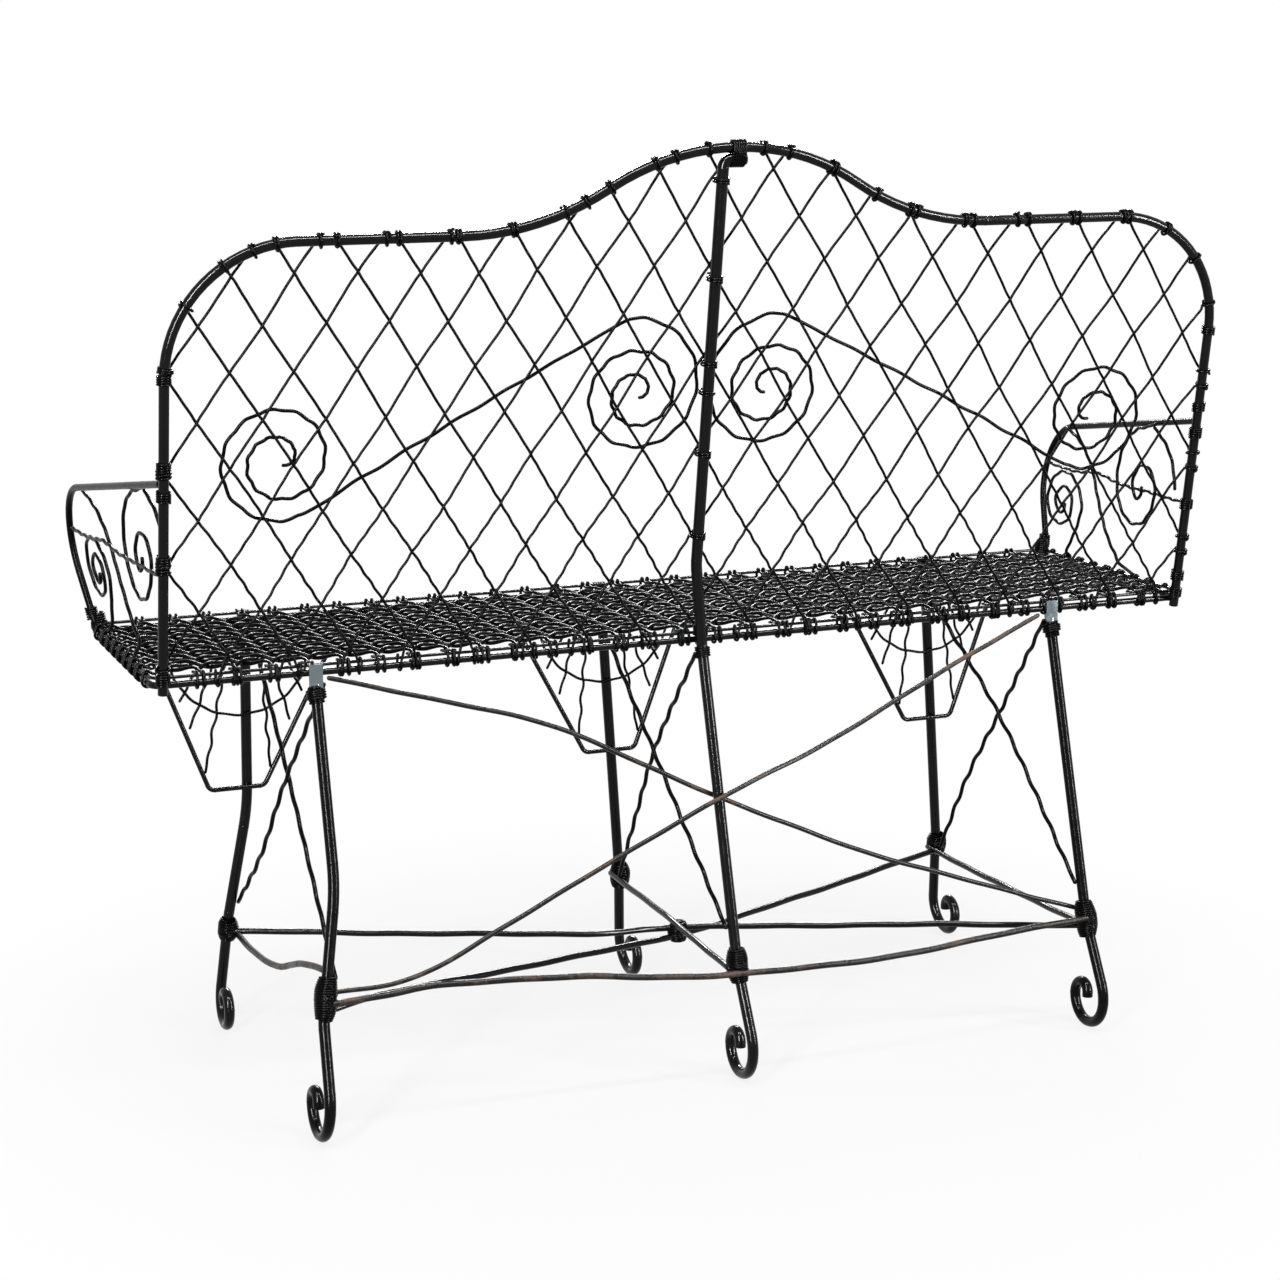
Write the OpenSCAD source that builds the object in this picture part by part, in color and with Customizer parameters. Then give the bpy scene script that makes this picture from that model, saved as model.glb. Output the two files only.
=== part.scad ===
// Wrought iron bench of rods, crimped wire and wire lashings.
// The front of the bench faces -Y and the back leans towards +Y.

/* [Seat] */
// Length between the centre lines of the two end rails
seat_w = 1090; // [900:10:1400]
// Depth between the centre lines of the front and rear rails
seat_d = 283; // [250:1:360]
// Height of the centre line of the seat rail
seat_h = 440; // [400:5:480]
// Diameter of the seat rail
rail_d = 6.5; // [5:0.5:9]
// Radius of the seat rail's corners
rail_corner = 10; // [8:1:20]
// Diameter of the thin rod above the rail
edge_d = 3.2; // [2.5:0.1:4.5]
// Open gap between the rail and the thin rod
edge_gap = 2.2; // [1.5:0.1:5]
// Diameter of the seat weave wire
weave_d = 3; // [1.8:0.1:3.6]
// Width of one diamond of the weave along the seat
weave_pitch_x = 34.5; // [18:0.5:40]
// Depth of one diamond of the weave
weave_pitch_y = 29; // [18:0.5:40]
// Distance from the rail to the woven part
weave_inset = 24; // [16:1:40]

/* [Back] */
// Slope of the back, from upright
back_lean = 10.3; // [5:0.1:16]
// Width between the two feet of the hoop
hoop_foot_w = 1074; // [884:10:1374]
// Width between the two posts of the hoop at the shoulders
hoop_w = 1066; // [860:2:1370]
// Height of the shoulders, along the slope
shoulder_h = 412; // [360:2:460]
// Height of the crest, along the slope
crest_h = 488; // [460:2:540]
// Diameter of the hoop rod
hoop_d = 9.5; // [8:0.5:13]
// Bend radius of the shoulders
shoulder_r = 120; // [80:5:150]
// Radius of the hollow curves beside the crest
hollow_r = 265; // [200:5:280]
// Radius of the crest
crest_r = 235; // [200:5:260]
// Width of one diamond of the back lattice
lattice_pitch_x = 58; // [45:0.1:80]
// Height of one diamond of the back lattice
lattice_pitch_h = 88.6; // [70:0.1:110]
// Diameter of the lattice wire
lattice_d = 2.6; // [2:0.1:3.2]
// Diameter of the back scroll wire
scroll_d = 3.4; // [2.5:0.1:4.5]
// Outer radius of the two outer spirals of the back
outer_r = 58; // [45:1:66]
// Outer radius of the two inner spirals of the back
inner_r = 74; // [60:1:80]
// Distance between the turns of the outer spirals
outer_pitch = 21; // [18:1:26]
// Distance between the turns of the inner spirals
inner_pitch = 30; // [26:1:32]
// Distance from the middle to the centre of the left inner spiral
inner_left_x = 84; // [84:1:110]
// Distance from the middle to the centre of the right inner spiral
inner_right_x = 68; // [68:1:100]
// Height of the inner spirals, along the slope
inner_h = 254; // [230:1:280]
// Distance from the middle to the centres of the outer spirals
outer_x = 424; // [330:1:450]
// Height of the outer spirals, along the slope
outer_h = 207; // [160:1:230]

/* [Legs] */
// Diameter of the legs and of the centre post
leg_d = 11; // [10:0.5:14]
// Distance from the middle to the tops of the end legs
leg_x = 392; // [300:1:430]
// Sideways spread of each rear end leg, top to foot
rear_splay = 24; // [0:1:40]
// Sideways spread of each front end leg, top to foot
front_splay = 36; // [0:1:50]
// Sideways lean of the rear middle leg, top to foot
rear_mid_lean = 18; // [0:1:30]
// Sideways lean of the front middle leg, top to foot
front_mid_lean = 32; // [0:1:40]
// Inward bow of the two left legs
left_leg_bow = 14; // [0:1:20]
// Height of the knees, where the ties are lashed on
knee_h = 118; // [100:1:140]
// Distance that the rear knees stand behind the rear rail
rear_knee = 60; // [40:1:90]
// Distance that the front knees stand before the front rail
front_knee = 14; // [0:1:40]
// Rearward rake of the rear legs below the knee
rear_foot_rake = 24; // [12:1:32]
// Forward rake of the front legs below the knee
front_foot_rake = 12; // [4:1:24]
// Radii of the rear foot scrolls, from the heel inwards
rear_scroll = [36, 24, 16, 9];
// Radii of the front foot scrolls, from the toe inwards
front_scroll = [28, 22, 15, 9];
// Depth worn off the underside of the feet
foot_wear = 0.4; // [0.2:0.1:0.8]
// Width of the flattened leg ends over the rail
tab_w = 13; // [12:0.5:20]
// Thickness of the flattened leg ends
tab_t = 3; // [2:0.5:4]
// Length of the flattened leg ends
tab_h = 26; // [22:1:50]

/* [Bracing] */
// Diameter of the ties and of the rear stretcher
tie_d = 7; // [5:0.5:9]
// Diameter of the rear braces
brace_d = 5; // [4:0.5:8]
// Diameter of the thin stays between front and rear legs
stay_d = 4.5; // [3:0.5:6]
// Height at which the stays meet the rear legs
stay_foot_h = 158; // [150:1:200]
// Top width of the brackets on the front legs
bracket_top_w = 214; // [160:2:240]
// Bottom width of the brackets
bracket_foot_w = 58; // [40:1:80]
// Height of the brackets below the rail
bracket_h = 178; // [140:2:200]
// Diameter of the bracket rod
bracket_d = 5; // [4:0.5:6]
// Radius of the curved wire in each bracket
bracket_arc_r = 76; // [60:1:85]
// Diameter of the curved wire and the rays in the brackets
ray_d = 3; // [2:0.5:4]

/* [Arms] */
// Diameter of the arm rail
arm_d = 7; // [5:0.5:9]
// Height of the arm joint, along the slope of the back
arm_h = 195; // [170:1:230]
// Height of the arm rail over the seat at the front
arm_front_h = 143; // [120:1:165]
// Distance that the arm reaches before the front rail
arm_reach = 30; // [0:1:34]
// Distance that the arm flares outwards at the front
arm_flare = 20; // [0:1:40]
// Diameter of the wires inside the arms
arm_wire_d = 3.6; // [2.5:0.1:4.5]

/* [Lashings] */
// Diameter of the lashing wire
lash_d = 2.2; // [1.6:0.1:3]
// Clearance between pieces that bear on each other
fit = 0.3; // [0.1:0.1:0.5]

/* [Hidden] */

BLACK = [0.07, 0.07, 0.075];
WIRE = [0.10, 0.10, 0.105];
RUST = [0.28, 0.20, 0.15];
ROUND = 32;
TURN_FN = 96;
// a knuckle stands this far proud of its rod, and the pieces inside it stop short by stop_short
knuckle = 0.3;
pole_skew = 0.6;
skew_axis = [0.31, 0.52, 0.8];
stop_short = 0.2;

leg_r = leg_d / 2;
rail_r = rail_d / 2;
rail_y = seat_d / 2;
rail_x = seat_w / 2;
edge_z = seat_h + rail_r + edge_gap + edge_d / 2;
weave_z = edge_z;
// the back stands behind the rear rail
back_y = rail_y + rail_r + fit + leg_r;
crest_y = back_y + crest_h * sin(back_lean);
toe_y = -rail_y - front_knee - (knee_h - leg_r + foot_wear) * tan(front_foot_rake)
    + front_scroll[0] * (tan((90 + front_foot_rake) / 2) - 1) - leg_r;
heel_y = crest_y + hoop_d / 2 + fit + lash_d;
// the middle of the bench's depth, which goes to y = 0
mid_y = (heel_y + toe_y) / 2;

function unit(v) = v / norm(v);
function turn(p, q, r) = acos(max(-1, min(1, unit(q - p) * unit(r - q))));
function is_end(pts, i) = i <= 0 || i >= len(pts) - 1;
function setback(pts, rad, i) =
    is_end(pts, i) ? 0 : rad[i] * tan(turn(pts[i - 1], pts[i], pts[i + 1]) / 2);
function along(a, b, t) = a + (b - a) * t;

// A point of the back: x to the side, h up the slope, off to the rear of the hoop's plane
function on_back(x, h, off = 0) =
    [x, back_y + h * sin(back_lean) + off * cos(back_lean),
     seat_h + h * cos(back_lean) - off * sin(back_lean)];
// A point of an arm: the arm flares outwards towards its front and its top
function on_arm(side, y, z) =
    [side * (hoop_foot_w / 2 + (rail_x - hoop_foot_w / 2) * arm_forward(y)
        + arm_flare * arm_forward(y) * (z - seat_h) / arm_front_h), y, z];
function arm_forward(y) = max(0, min(1.2, (back_y - y) / (back_y + rail_y)));
// Points of a spiral about c, from angle a0, with the radius falling by pitch each turn
function winding(c, r, pitch, a0, turns, dir, n = 16) =
    [for (i = [0 : round(n * turns)])
        c + (r - pitch * i / n) * [cos(a0 + dir * i * 360 / n), sin(a0 + dir * i * 360 / n)]];

module straight(p, q, d) {
    v = q - p;
    translate(p)
        rotate([0, acos(v[2] / norm(v)), atan2(v[1], v[0])])
            cylinder(h = norm(v), d = d, $fn = ROUND);
}

// A ball at a joint of a rod that runs along u; its poles lie inside the rod, askew of u
module knuckle_at(p, u, d) {
    v = unit(u + pole_skew * unit(cross(u, skew_axis)));
    translate(p)
        rotate([0, acos(v[2]), atan2(v[1], v[0])])
            sphere(d = d + knuckle, $fn = ROUND);
}

module bend(p, q, r, rad, d) {
    a = unit(p - q);
    b = unit(r - q);
    ang = turn(p, q, r);
    c = q + unit(a + b) * rad / cos(ang / 2);
    ex = unit(q + a * rad * tan(ang / 2) - c);
    ez = -unit(cross(a, b));
    ey = cross(ez, ex);
    slack = stop_short / rad * 180 / PI;
    multmatrix([[ex[0], ey[0], ez[0], c[0]], [ex[1], ey[1], ez[1], c[1]],
                [ex[2], ey[2], ez[2], c[2]], [0, 0, 0, 1]])
        rotate([0, 0, slack])
            rotate_extrude(angle = ang - 2 * slack, $fn = TURN_FN)
                translate([rad, 0]) circle(d = d, $fn = ROUND);
}

// A rod along pts, bent to the radius rad[i] at each inner point
module bent_rod(pts, rad, d) {
    for (i = [0 : len(pts) - 2]) {
        u = unit(pts[i + 1] - pts[i]);
        a = pts[i] + u * setback(pts, rad, i);
        b = pts[i + 1] - u * setback(pts, rad, i + 1);
        run = norm(b - a);
        if (run > 1)
            straight(a + u * (is_end(pts, i) ? 0 : stop_short),
                     b - u * (is_end(pts, i + 1) ? 0 : stop_short), d);
        if (!is_end(pts, i)) knuckle_at(a, u, d);
        if (!is_end(pts, i + 1) && run > 1) knuckle_at(b, u, d);
    }
    for (i = [1 : 1 : len(pts) - 2]) bend(pts[i - 1], pts[i], pts[i + 1], rad[i], d);
}

// A crimped wire: straight runs with a knuckle at each kink
module kinked_wire(pts, d) {
    n = len(pts);
    for (i = [0 : n - 2]) {
        u = unit(pts[i + 1] - pts[i]);
        straight(pts[i] + u * (i > 0 ? stop_short * d / 2 : 0),
                 pts[i + 1] - u * (i < n - 2 ? stop_short * d / 2 : 0), d);
    }
    for (i = [1 : 1 : n - 2]) knuckle_at(pts[i], unit(pts[i + 1] - pts[i - 1]), d);
}

// A ring of wire round the axis v at p, for a rod of diameter d
module ring(p, v, d, wire = lash_d) {
    translate(p)
        rotate([0, acos(v[2] / norm(v)), atan2(v[1], v[0])])
            rotate_extrude($fn = ROUND)
                translate([d / 2 + fit + wire / 2, 0]) circle(d = wire, $fn = 16);
}

// A lashing of n turns along the unit axis u, centred on p
module lashing(p, u, d, n, wire = lash_d) {
    for (i = [0 : n - 1]) ring(p + u * (i - (n - 1) / 2) * (wire + fit), u, d, wire);
}

// Moves a piece from the seat's own middle to the middle of the whole bench
module placed() {
    translate([0, -mid_y, 0]) children();
}

// The hoop's curve over the shoulders and the crest
sweep_rise = crest_h - shoulder_h;
sweep_run = sqrt(2 * (hollow_r + crest_r) * sweep_rise - sweep_rise * sweep_rise);
sweep_turn = asin(sweep_run / (hollow_r + crest_r));
hollow_x = sweep_run - hollow_r * tan(sweep_turn / 2);
peak_h = crest_h + crest_r * (1 / cos(sweep_turn) - 1);
// the posts of the hoop run down past the rail by this much
hoop_tail = 7;

module back_hoop() {
    color(BLACK) placed()
        bent_rod([on_back(hoop_foot_w / 2, -hoop_tail), on_back(hoop_w / 2, shoulder_h),
                  on_back(hollow_x, shoulder_h), on_back(0, peak_h), on_back(-hollow_x, shoulder_h),
                  on_back(-hoop_w / 2, shoulder_h), on_back(-hoop_foot_w / 2, -hoop_tail)],
                 [0, shoulder_r, hollow_r, crest_r, hollow_r, shoulder_r, 0], hoop_d);
}

// Height of the hoop's centre line at x
function hoop_h(x) =
    abs(x) < crest_r * sin(sweep_turn) ? crest_h - crest_r + sqrt(crest_r * crest_r - x * x) :
    abs(x) < sweep_run
        ? shoulder_h + hollow_r - sqrt(hollow_r * hollow_r - pow(sweep_run - abs(x), 2)) :
    abs(x) < hoop_w / 2 - shoulder_r ? shoulder_h :
    shoulder_h - shoulder_r
        + sqrt(max(0, shoulder_r * shoulder_r - pow(abs(x) - hoop_w / 2 + shoulder_r, 2)));
// Half the width between the posts' centre lines at height h
function post_x(h) = along(hoop_foot_w / 2, hoop_w / 2, h / shoulder_h);
// the lattice keeps under the hoop, and under the bent top of the centre post
function inside_hoop(p) =
    p[1] < hoop_h(p[0]) - (under_crest(p[0]) ? crest_room : 0) && abs(p[0]) < post_x(p[1]);

// Where each leg stands at its knee and at its foot
knee_bend_r = 60;
// the left legs bow inwards to this height
bow_z = 240;
bow_bend_r = 260;
rear_knee_y = rail_y + rear_knee;
front_knee_y = -rail_y - front_knee;
function lean_at(top_x, lean, z) = top_x + lean * (seat_h - z) / seat_h;
leg_top_z = seat_h - rail_r - fit;

// Foot of a leg: the heel corner and the corners of the scroll, all in one upright plane
foot_z = leg_r - foot_wear;
function foot(x, knee_y, dir, rake, r) =
    let (heel = knee_y + dir * (knee_h - foot_z) * tan(rake),
         low = heel - dir * r[0] * tan((90 + rake) / 2),
         side = low - dir * r[1],
         top_z = foot_z + r[1] + r[2])
    [[x, heel, foot_z], [x, side, foot_z], [x, side, top_z],
     [x, side + dir * (r[2] + r[3]), top_z], [x, side + dir * (r[2] + r[3]), top_z - r[3] - r[3] / 2]];

// Wears the feet flat where they stand on the ground
module worn() {
    difference() {
        children();
        translate([-seat_w, -seat_w, -leg_d]) cube([2 * seat_w, 2 * seat_w, leg_d]);
    }
}

module end_leg(side, dir, lean, knee_y, rake, r) {
    x_knee = lean_at(leg_x, lean, knee_h);
    x_bow = lean_at(leg_x, lean, bow_z) - left_leg_bow;
    y_bow = along(dir * rail_y, knee_y, (seat_h - bow_z) / (seat_h - knee_h));
    bowed = side > 0 && left_leg_bow > 0;
    x_foot = leg_x + lean;
    color(BLACK) placed() {
        worn() bent_rod(concat([[side * leg_x, dir * rail_y, leg_top_z]],
                               bowed ? [[side * x_bow, y_bow, bow_z]] : [],
                               [[side * x_knee, knee_y, knee_h]],
                               foot(side * x_foot, knee_y, dir, rake, r)),
                        concat(bowed ? [0, bow_bend_r] : [0], [knee_bend_r, r[0], r[1], r[2], r[3], 0]),
                        leg_d);
        translate([side * leg_x - tab_w / 2, dir > 0 ? tab_y : -tab_y - tab_t, tab_top - tab_h])
            cube([tab_w, tab_t, tab_h]);
    }
}
// the flattened end stands against the outside of both rails
tab_y = rail_y + rail_r + fit;
tab_top = edge_z + edge_d / 2;

module rear_leg_left() {
    end_leg(1, 1, rear_splay, rear_knee_y, rear_foot_rake, rear_scroll);
}
module rear_leg_right() {
    end_leg(-1, 1, rear_splay, rear_knee_y, rear_foot_rake, rear_scroll);
}
module front_leg_left() {
    end_leg(1, -1, front_splay, front_knee_y, front_foot_rake, front_scroll);
}
module front_leg_right() {
    end_leg(-1, -1, front_splay, front_knee_y, front_foot_rake, front_scroll);
}

module front_leg_centre() {
    color(BLACK) placed() {
        worn() bent_rod(concat([[0, -rail_y, leg_top_z],
                                [-lean_at(0, front_mid_lean, knee_h), front_knee_y, knee_h]],
                        foot(-front_mid_lean, front_knee_y, -1, front_foot_rake, front_scroll)),
                 [0, knee_bend_r, front_scroll[0], front_scroll[1], front_scroll[2], front_scroll[3], 0],
                 leg_d);
        translate([-tab_w / 2, -tab_y - tab_t, tab_top - tab_h]) cube([tab_w, tab_t, tab_h]);
    }
}

// The centre post bends under the crest of the hoop, and its foot is the rear middle leg
post_x0 = 14;
post_x1 = 3;
post_jog_h = 80;
post_arm = 22;
post_bend_r = 8;
waist_bend_r = 70;
function crest_drop(x) = crest_r - sqrt(crest_r * crest_r - x * x);
post_top_h = crest_h - hoop_d / 2 - leg_r - 2 * fit;

crest_room = leg_d + 3 * fit + lash_d;
function under_crest(x) = abs(x - post_x0 + post_arm / 2) < post_arm / 2 + 3 * lash_d;

module centre_post_and_leg() {
    color(BLACK) placed()
        worn() bent_rod(concat([on_back(post_x0 - post_arm, post_top_h - crest_drop(post_x0 - post_arm)),
                         on_back(post_x0, post_top_h - crest_drop(post_x0)),
                         on_back(post_x0, post_jog_h), on_back(post_x1, 0),
                         [-lean_at(0, rear_mid_lean, knee_h), rear_knee_y, knee_h]],
                        foot(-rear_mid_lean, rear_knee_y, 1, rear_foot_rake, rear_scroll)),
                 [0, post_bend_r, waist_bend_r, waist_bend_r, knee_bend_r,
                  rear_scroll[0], rear_scroll[1], rear_scroll[2], rear_scroll[3], 0], leg_d);
}

// A rectangle of rod at height z, whose ends meet in the middle of its rear side
module rail_frame(z, d) {
    c = rail_corner;
    bent_rod([[-fit / 2, rail_y, z], [-rail_x, rail_y, z], [-rail_x, -rail_y, z],
              [rail_x, -rail_y, z], [rail_x, rail_y, z], [fit / 2, rail_y, z]],
             [0, c, c, c, c, 0], d);
}

module seat_rail() {
    color(BLACK) placed() rail_frame(seat_h, rail_d);
}
module seat_edge_rod() {
    color(BLACK) placed() rail_frame(edge_z, edge_d);
}

// The weave's grid: half diamonds from the middle to each side
half_x = weave_pitch_x / 2;
half_y = weave_pitch_y / 2;
cells_x = floor((rail_x - weave_inset) / half_x);
cells_y = floor((rail_y - weave_inset) / half_y);
weave_lift = (weave_d + fit) / 2;
weave_margin = weave_d;

// All straight wires of the weave that slant one way: lean is 1 or -1
module weave(lean) {
    last = cells_x + cells_y - 1;
    for (c = [-last : 2 : last]) {
        i0 = max(-cells_x, c - cells_y);
        i1 = min(cells_x, c + cells_y);
        straight([i0 * half_x, lean * (i0 - c) * half_y, weave_z + lean * weave_lift],
                 [i1 * half_x, lean * (i1 - c) * half_y, weave_z + lean * weave_lift], weave_d);
    }
}
module seat_weave_left() {
    color(WIRE) placed() weave(1);
}
module seat_weave_right() {
    color(WIRE) placed() weave(-1);
}

// Where the weave's points meet the long edges and the ends
long_points = [for (i = [1 - cells_x : 2 : cells_x - 1]) i * half_x];
end_points = [for (j = [1 - cells_y : 2 : cells_y - 1]) j * half_y];
strand_gap = (weave_d + fit) / 2;

// Double strands from the weave's points to the thin rod
module seat_strands_long() {
    color(WIRE) placed()
        for (x = long_points, side = [-1, 1], s = [-1, 1])
            straight([x + s * strand_gap, side * (cells_y * half_y + weave_margin), weave_z],
                     [x + s * strand_gap, side * (rail_y - edge_d / 2 - fit), weave_z], weave_d);
}
module seat_strands_end() {
    color(WIRE) placed()
        for (y = end_points, side = [-1, 1], s = [-1, 1])
            straight([side * (cells_x * half_x + weave_margin), y + s * strand_gap, weave_z],
                     [side * (rail_x - edge_d / 2 - fit), y + s * strand_gap, weave_z], weave_d);
}

// A flat oval loop round the rail and the thin rod, square to the axis u
wrap_d = edge_gap - 2 * fit;
loop_r = rail_r + fit;
loop_rise = edge_z + edge_d / 2 - rail_r - seat_h;
module oval(r) {
    circle(r = r, $fn = ROUND);
    translate([0, loop_rise]) circle(r = r, $fn = ROUND);
    translate([-r, 0]) square([2 * r, loop_rise]);
}
module loop(p, turned) {
    translate(p) rotate([0, 0, turned]) rotate([90, 0, 90]) translate([0, 0, -wrap_d / 2])
        linear_extrude(wrap_d) difference() {
            oval(loop_r + wrap_d);
            oval(loop_r);
        }
}

// Turns of wire at one pair of strands: a loop on each side and a turn round the rail between
loop_x = strand_gap + weave_d / 2 + fit + wrap_d / 2;
module wrap(p, turned) {
    u = [cos(turned), sin(turned), 0];
    for (k = [-1, 1]) loop(p + u * k * loop_x, turned);
    ring(p, u, rail_d, wrap_d);
}
wrap_half = loop_x + wrap_d / 2 + fit;
wrap_reach = rail_x - rail_corner - wrap_half;
// true where x stays more than room away from every one of the places
function clear_of(x, places, room) = min([for (q = places) abs(x - q)]) > room;
leg_places = [-leg_x, 0, leg_x];
tab_room = tab_w / 2 + wrap_half;

module seat_wraps_front() {
    color(WIRE) placed()
        for (x = long_points)
            if (abs(x) < wrap_reach && clear_of(x, leg_places, tab_room))
                wrap([x, -rail_y, seat_h], 0);
}
module seat_wraps_rear() {
    color(WIRE) placed()
        for (x = long_points)
            if (abs(x) < wrap_reach && clear_of(x, leg_places, tab_room)
                && clear_of(abs(x), [hoop_foot_w / 2], tab_room))
                wrap([x, rail_y, seat_h], 0);
}
module seat_wraps_ends() {
    color(WIRE) placed()
        for (y = end_points, side = [-1, 1])
            if (abs(y) < rail_y - rail_corner - wrap_half)
                wrap([side * rail_x, y, seat_h], 90);
}

// The lattice lies against the front of the hoop and of the centre post
lattice_off = -(leg_r + fit + lattice_d / 2);
lattice_step = lattice_d + fit;
// one crossing of the lattice, which sets where all the others fall
cross_x = 11;
cross_h = 198.7;
lattice_low = (edge_z + edge_d / 2 + 2 * fit + wrap_d + lattice_d / 4 - seat_h) / cos(back_lean);
lattice_back = 6;

// The farthest point from p towards q that is still inside the hoop
function reach(p, q, n = 14) =
    n == 0 ? p :
    let (m = (p + q) / 2) inside_hoop(m) ? reach(m, q, n - 1) : reach(p, m, n - 1);
// Where the wire through [x, 0] that slants by lean is cut at the bottom and at the top
slant = [lattice_pitch_x / 2, lattice_pitch_h / 2];
function wire_at(x, lean, h) = [x + lean * h * lattice_pitch_x / lattice_pitch_h, h];
function start_h(x, lean) =
    let (wall = hoop_foot_w / 2, taper = (hoop_foot_w - hoop_w) / 2 / shoulder_h)
    lean * x < -wall ? (-wall - lean * x) / (lattice_pitch_x / lattice_pitch_h - taper) : lattice_low;
wire_starts = [for (k = [-20 : 20]) k];
function wire_x(k, lean) = cross_x + k * lattice_pitch_x - lean * cross_h * lattice_pitch_x / lattice_pitch_h;
// Centre line of each wire: [bottom, top], both in the plane of the back
function wire_ends(lean) =
    [for (k = wire_starts)
        let (x = wire_x(k, lean),
             low = wire_at(x, lean, max(lattice_low, start_h(x, lean) + 1)),
             high = wire_at(x, lean, crest_h + 1))
        if (abs(x) < hoop_foot_w + crest_h && abs(low[0]) < post_x(low[1]) && inside_hoop(low))
            let (top = reach(low, high))
            if (norm(top - low) > 2 * lattice_back + lash_d) [low, top, start_h(x, lean) > lattice_low]];

module lattice(lean) {
    for (w = wire_ends(lean)) {
        u = unit(w[1] - w[0]);
        a = w[0] + u * (w[2] ? lattice_back : 0);
        b = w[1] - u * lattice_back;
        off = lattice_off - (lean > 0 ? 0 : lattice_step);
        straight(on_back(a[0], a[1], off), on_back(b[0], b[1], off), lattice_d);
    }
}
module back_lattice_left() {
    color(WIRE) placed() lattice(1);
}
module back_lattice_right() {
    color(WIRE) placed() lattice(-1);
}

// Direction of the hoop at x, or of its posts
function hoop_dir(p) =
    abs(p[0]) > hoop_w / 2 - 2 ? on_back(hoop_w / 2, shoulder_h) - on_back(hoop_foot_w / 2, 0) :
    on_back(p[0] + 1, hoop_h(p[0] + 1)) - on_back(p[0] - 1, hoop_h(p[0] - 1));
// Where the wires of one slant end on the hoop
function hoop_ends(lean) =
    [for (w = wire_ends(lean), p = w[2] ? [w[0], w[1]] : [w[1]]) if (!under_crest(p[0])) p];
function clear_points(p, places, room) = min([for (q = places) norm(p - q)]) > room;
module lattice_rings_hoop() {
    near = hoop_ends(1);
    color(WIRE) placed() {
        for (p = near) ring(on_back(p[0], p[1]), hoop_dir(p), hoop_d);
        for (p = hoop_ends(-1))
            if (clear_points(p, near, lash_d + 2 * fit)) ring(on_back(p[0], p[1]), hoop_dir(p), hoop_d);
    }
}

// Turns round the centre post, over and under each crossing of the lattice on it
tie_room = (leg_r + fit + lash_d + lattice_d / 2) * lattice_pitch_h / lattice_pitch_x + 2 * fit;
module lattice_rings_post() {
    color(WIRE) placed()
        for (k = [-2 : 4], t = [-1, 1], h = [cross_h + k * lattice_pitch_h + t * tie_room])
            if (h > post_jog_h && h < post_top_h - 2 * post_bend_r)
                ring(on_back(post_x0, h), on_back(0, 1) - on_back(0, 0), leg_d);
}

// A turn round the thin rod under each foot of the lattice that has room for one
module lattice_rings_rail() {
    color(WIRE) placed()
        for (lean = [-1, 1], w = wire_ends(lean), x = [w[0][0]])
            if (!w[2] && abs(x) < wrap_reach && ring_has_room(x, lean))
                ring([x, rail_y, edge_z], [1, 0, 0], edge_d, wrap_d);
}
// the turn fits between the seat's loops, and a shared foot gets one turn only
function ring_has_room(x, lean) =
    clear_of(x, long_points, loop_x + wrap_d + fit)
    && (lean > 0 || clear_of(x, [for (w = wire_ends(1)) w[0][0]], wrap_d + fit));

// The back scrolls lie against the front of the lattice
scroll_off = lattice_off - lattice_step - (lattice_d + scroll_d) / 2 - fit;
// slope of the straight tail that touches the top of the inner spiral and the foot of the outer
function tail_angle(inner) =
    let (d = inner - [outer_x, outer_h])
    atan2(d[1], d[0]) - asin((outer_r + inner_r) / norm(d));
module back_scroll(side, inner_x) {
    a = tail_angle([inner_x, inner_h]);
    outer = winding([outer_x, outer_h], outer_r, outer_pitch, a + 90, 1.9, 1);
    inner = winding([inner_x, inner_h], inner_r, inner_pitch, a - 90, 2.3, 1);
    path = concat([for (i = [len(outer) - 1 : -1 : 0]) outer[i]], inner);
    color(WIRE) placed()
        kinked_wire([for (p = path) on_back(side * p[0], p[1], scroll_off)], scroll_d);
}
module back_scroll_left() {
    back_scroll(1, inner_left_x);
}
module back_scroll_right() {
    back_scroll(-1, inner_right_x);
}

// Arm: [y, z] of the corner in front, of the foot on the seat rail and of the joint at the post
arm_corner = [-rail_y - 2 * arm_reach, seat_h + arm_front_h - 4];
arm_bend_r = 65;
arm_foot = [-rail_y + rail_corner / 2, edge_z + edge_d / 2 + fit + arm_d / 2 - 2];
arm_joint_z = on_back(0, arm_h)[2];
arm_joint = [on_back(0, arm_h)[1] - (hoop_d / 2 + arm_d / 12) / cos(back_lean) - 2 * fit, arm_joint_z];
// the wires lap the inner face of the arm rail
arm_lap = (arm_d + arm_wire_d) / 2 + fit;
function arm_point(side, q, lap = 0) = on_arm(side, q[0], q[1]) - [side * lap, 0, 0];
// lower ends of the arm wires stand on the thin rod of the seat, between two wraps
wire_foot_z = edge_z + edge_d / 2 + fit + arm_wire_d / 8;
scroll_foot_y = -2.8 * weave_pitch_y;
brace_foot_y = 1.85 * weave_pitch_y;

module arm_rail(side) {
    color(BLACK) placed()
        bent_rod([arm_point(side, arm_joint), arm_point(side, arm_corner), arm_point(side, arm_foot)],
                 [0, arm_bend_r, 0], arm_d);
}
module arm_rail_left() {
    arm_rail(1);
}
module arm_rail_right() {
    arm_rail(-1);
}

// Each arm wire is given by [y, z] points, z measured from the seat rail
module arm_wire(side, pts, foot_y) {
    body = [for (q = pts) arm_point(side, [q[0], seat_h + q[1]], arm_lap)];
    foot = foot_y == undef ? [] : [[side * rail_x, foot_y, wire_foot_z]];
    kinked_wire(concat(body, foot), arm_wire_d);
}
function reversed(v) = [for (i = [len(v) - 1 : -1 : 0]) v[i]];

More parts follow.
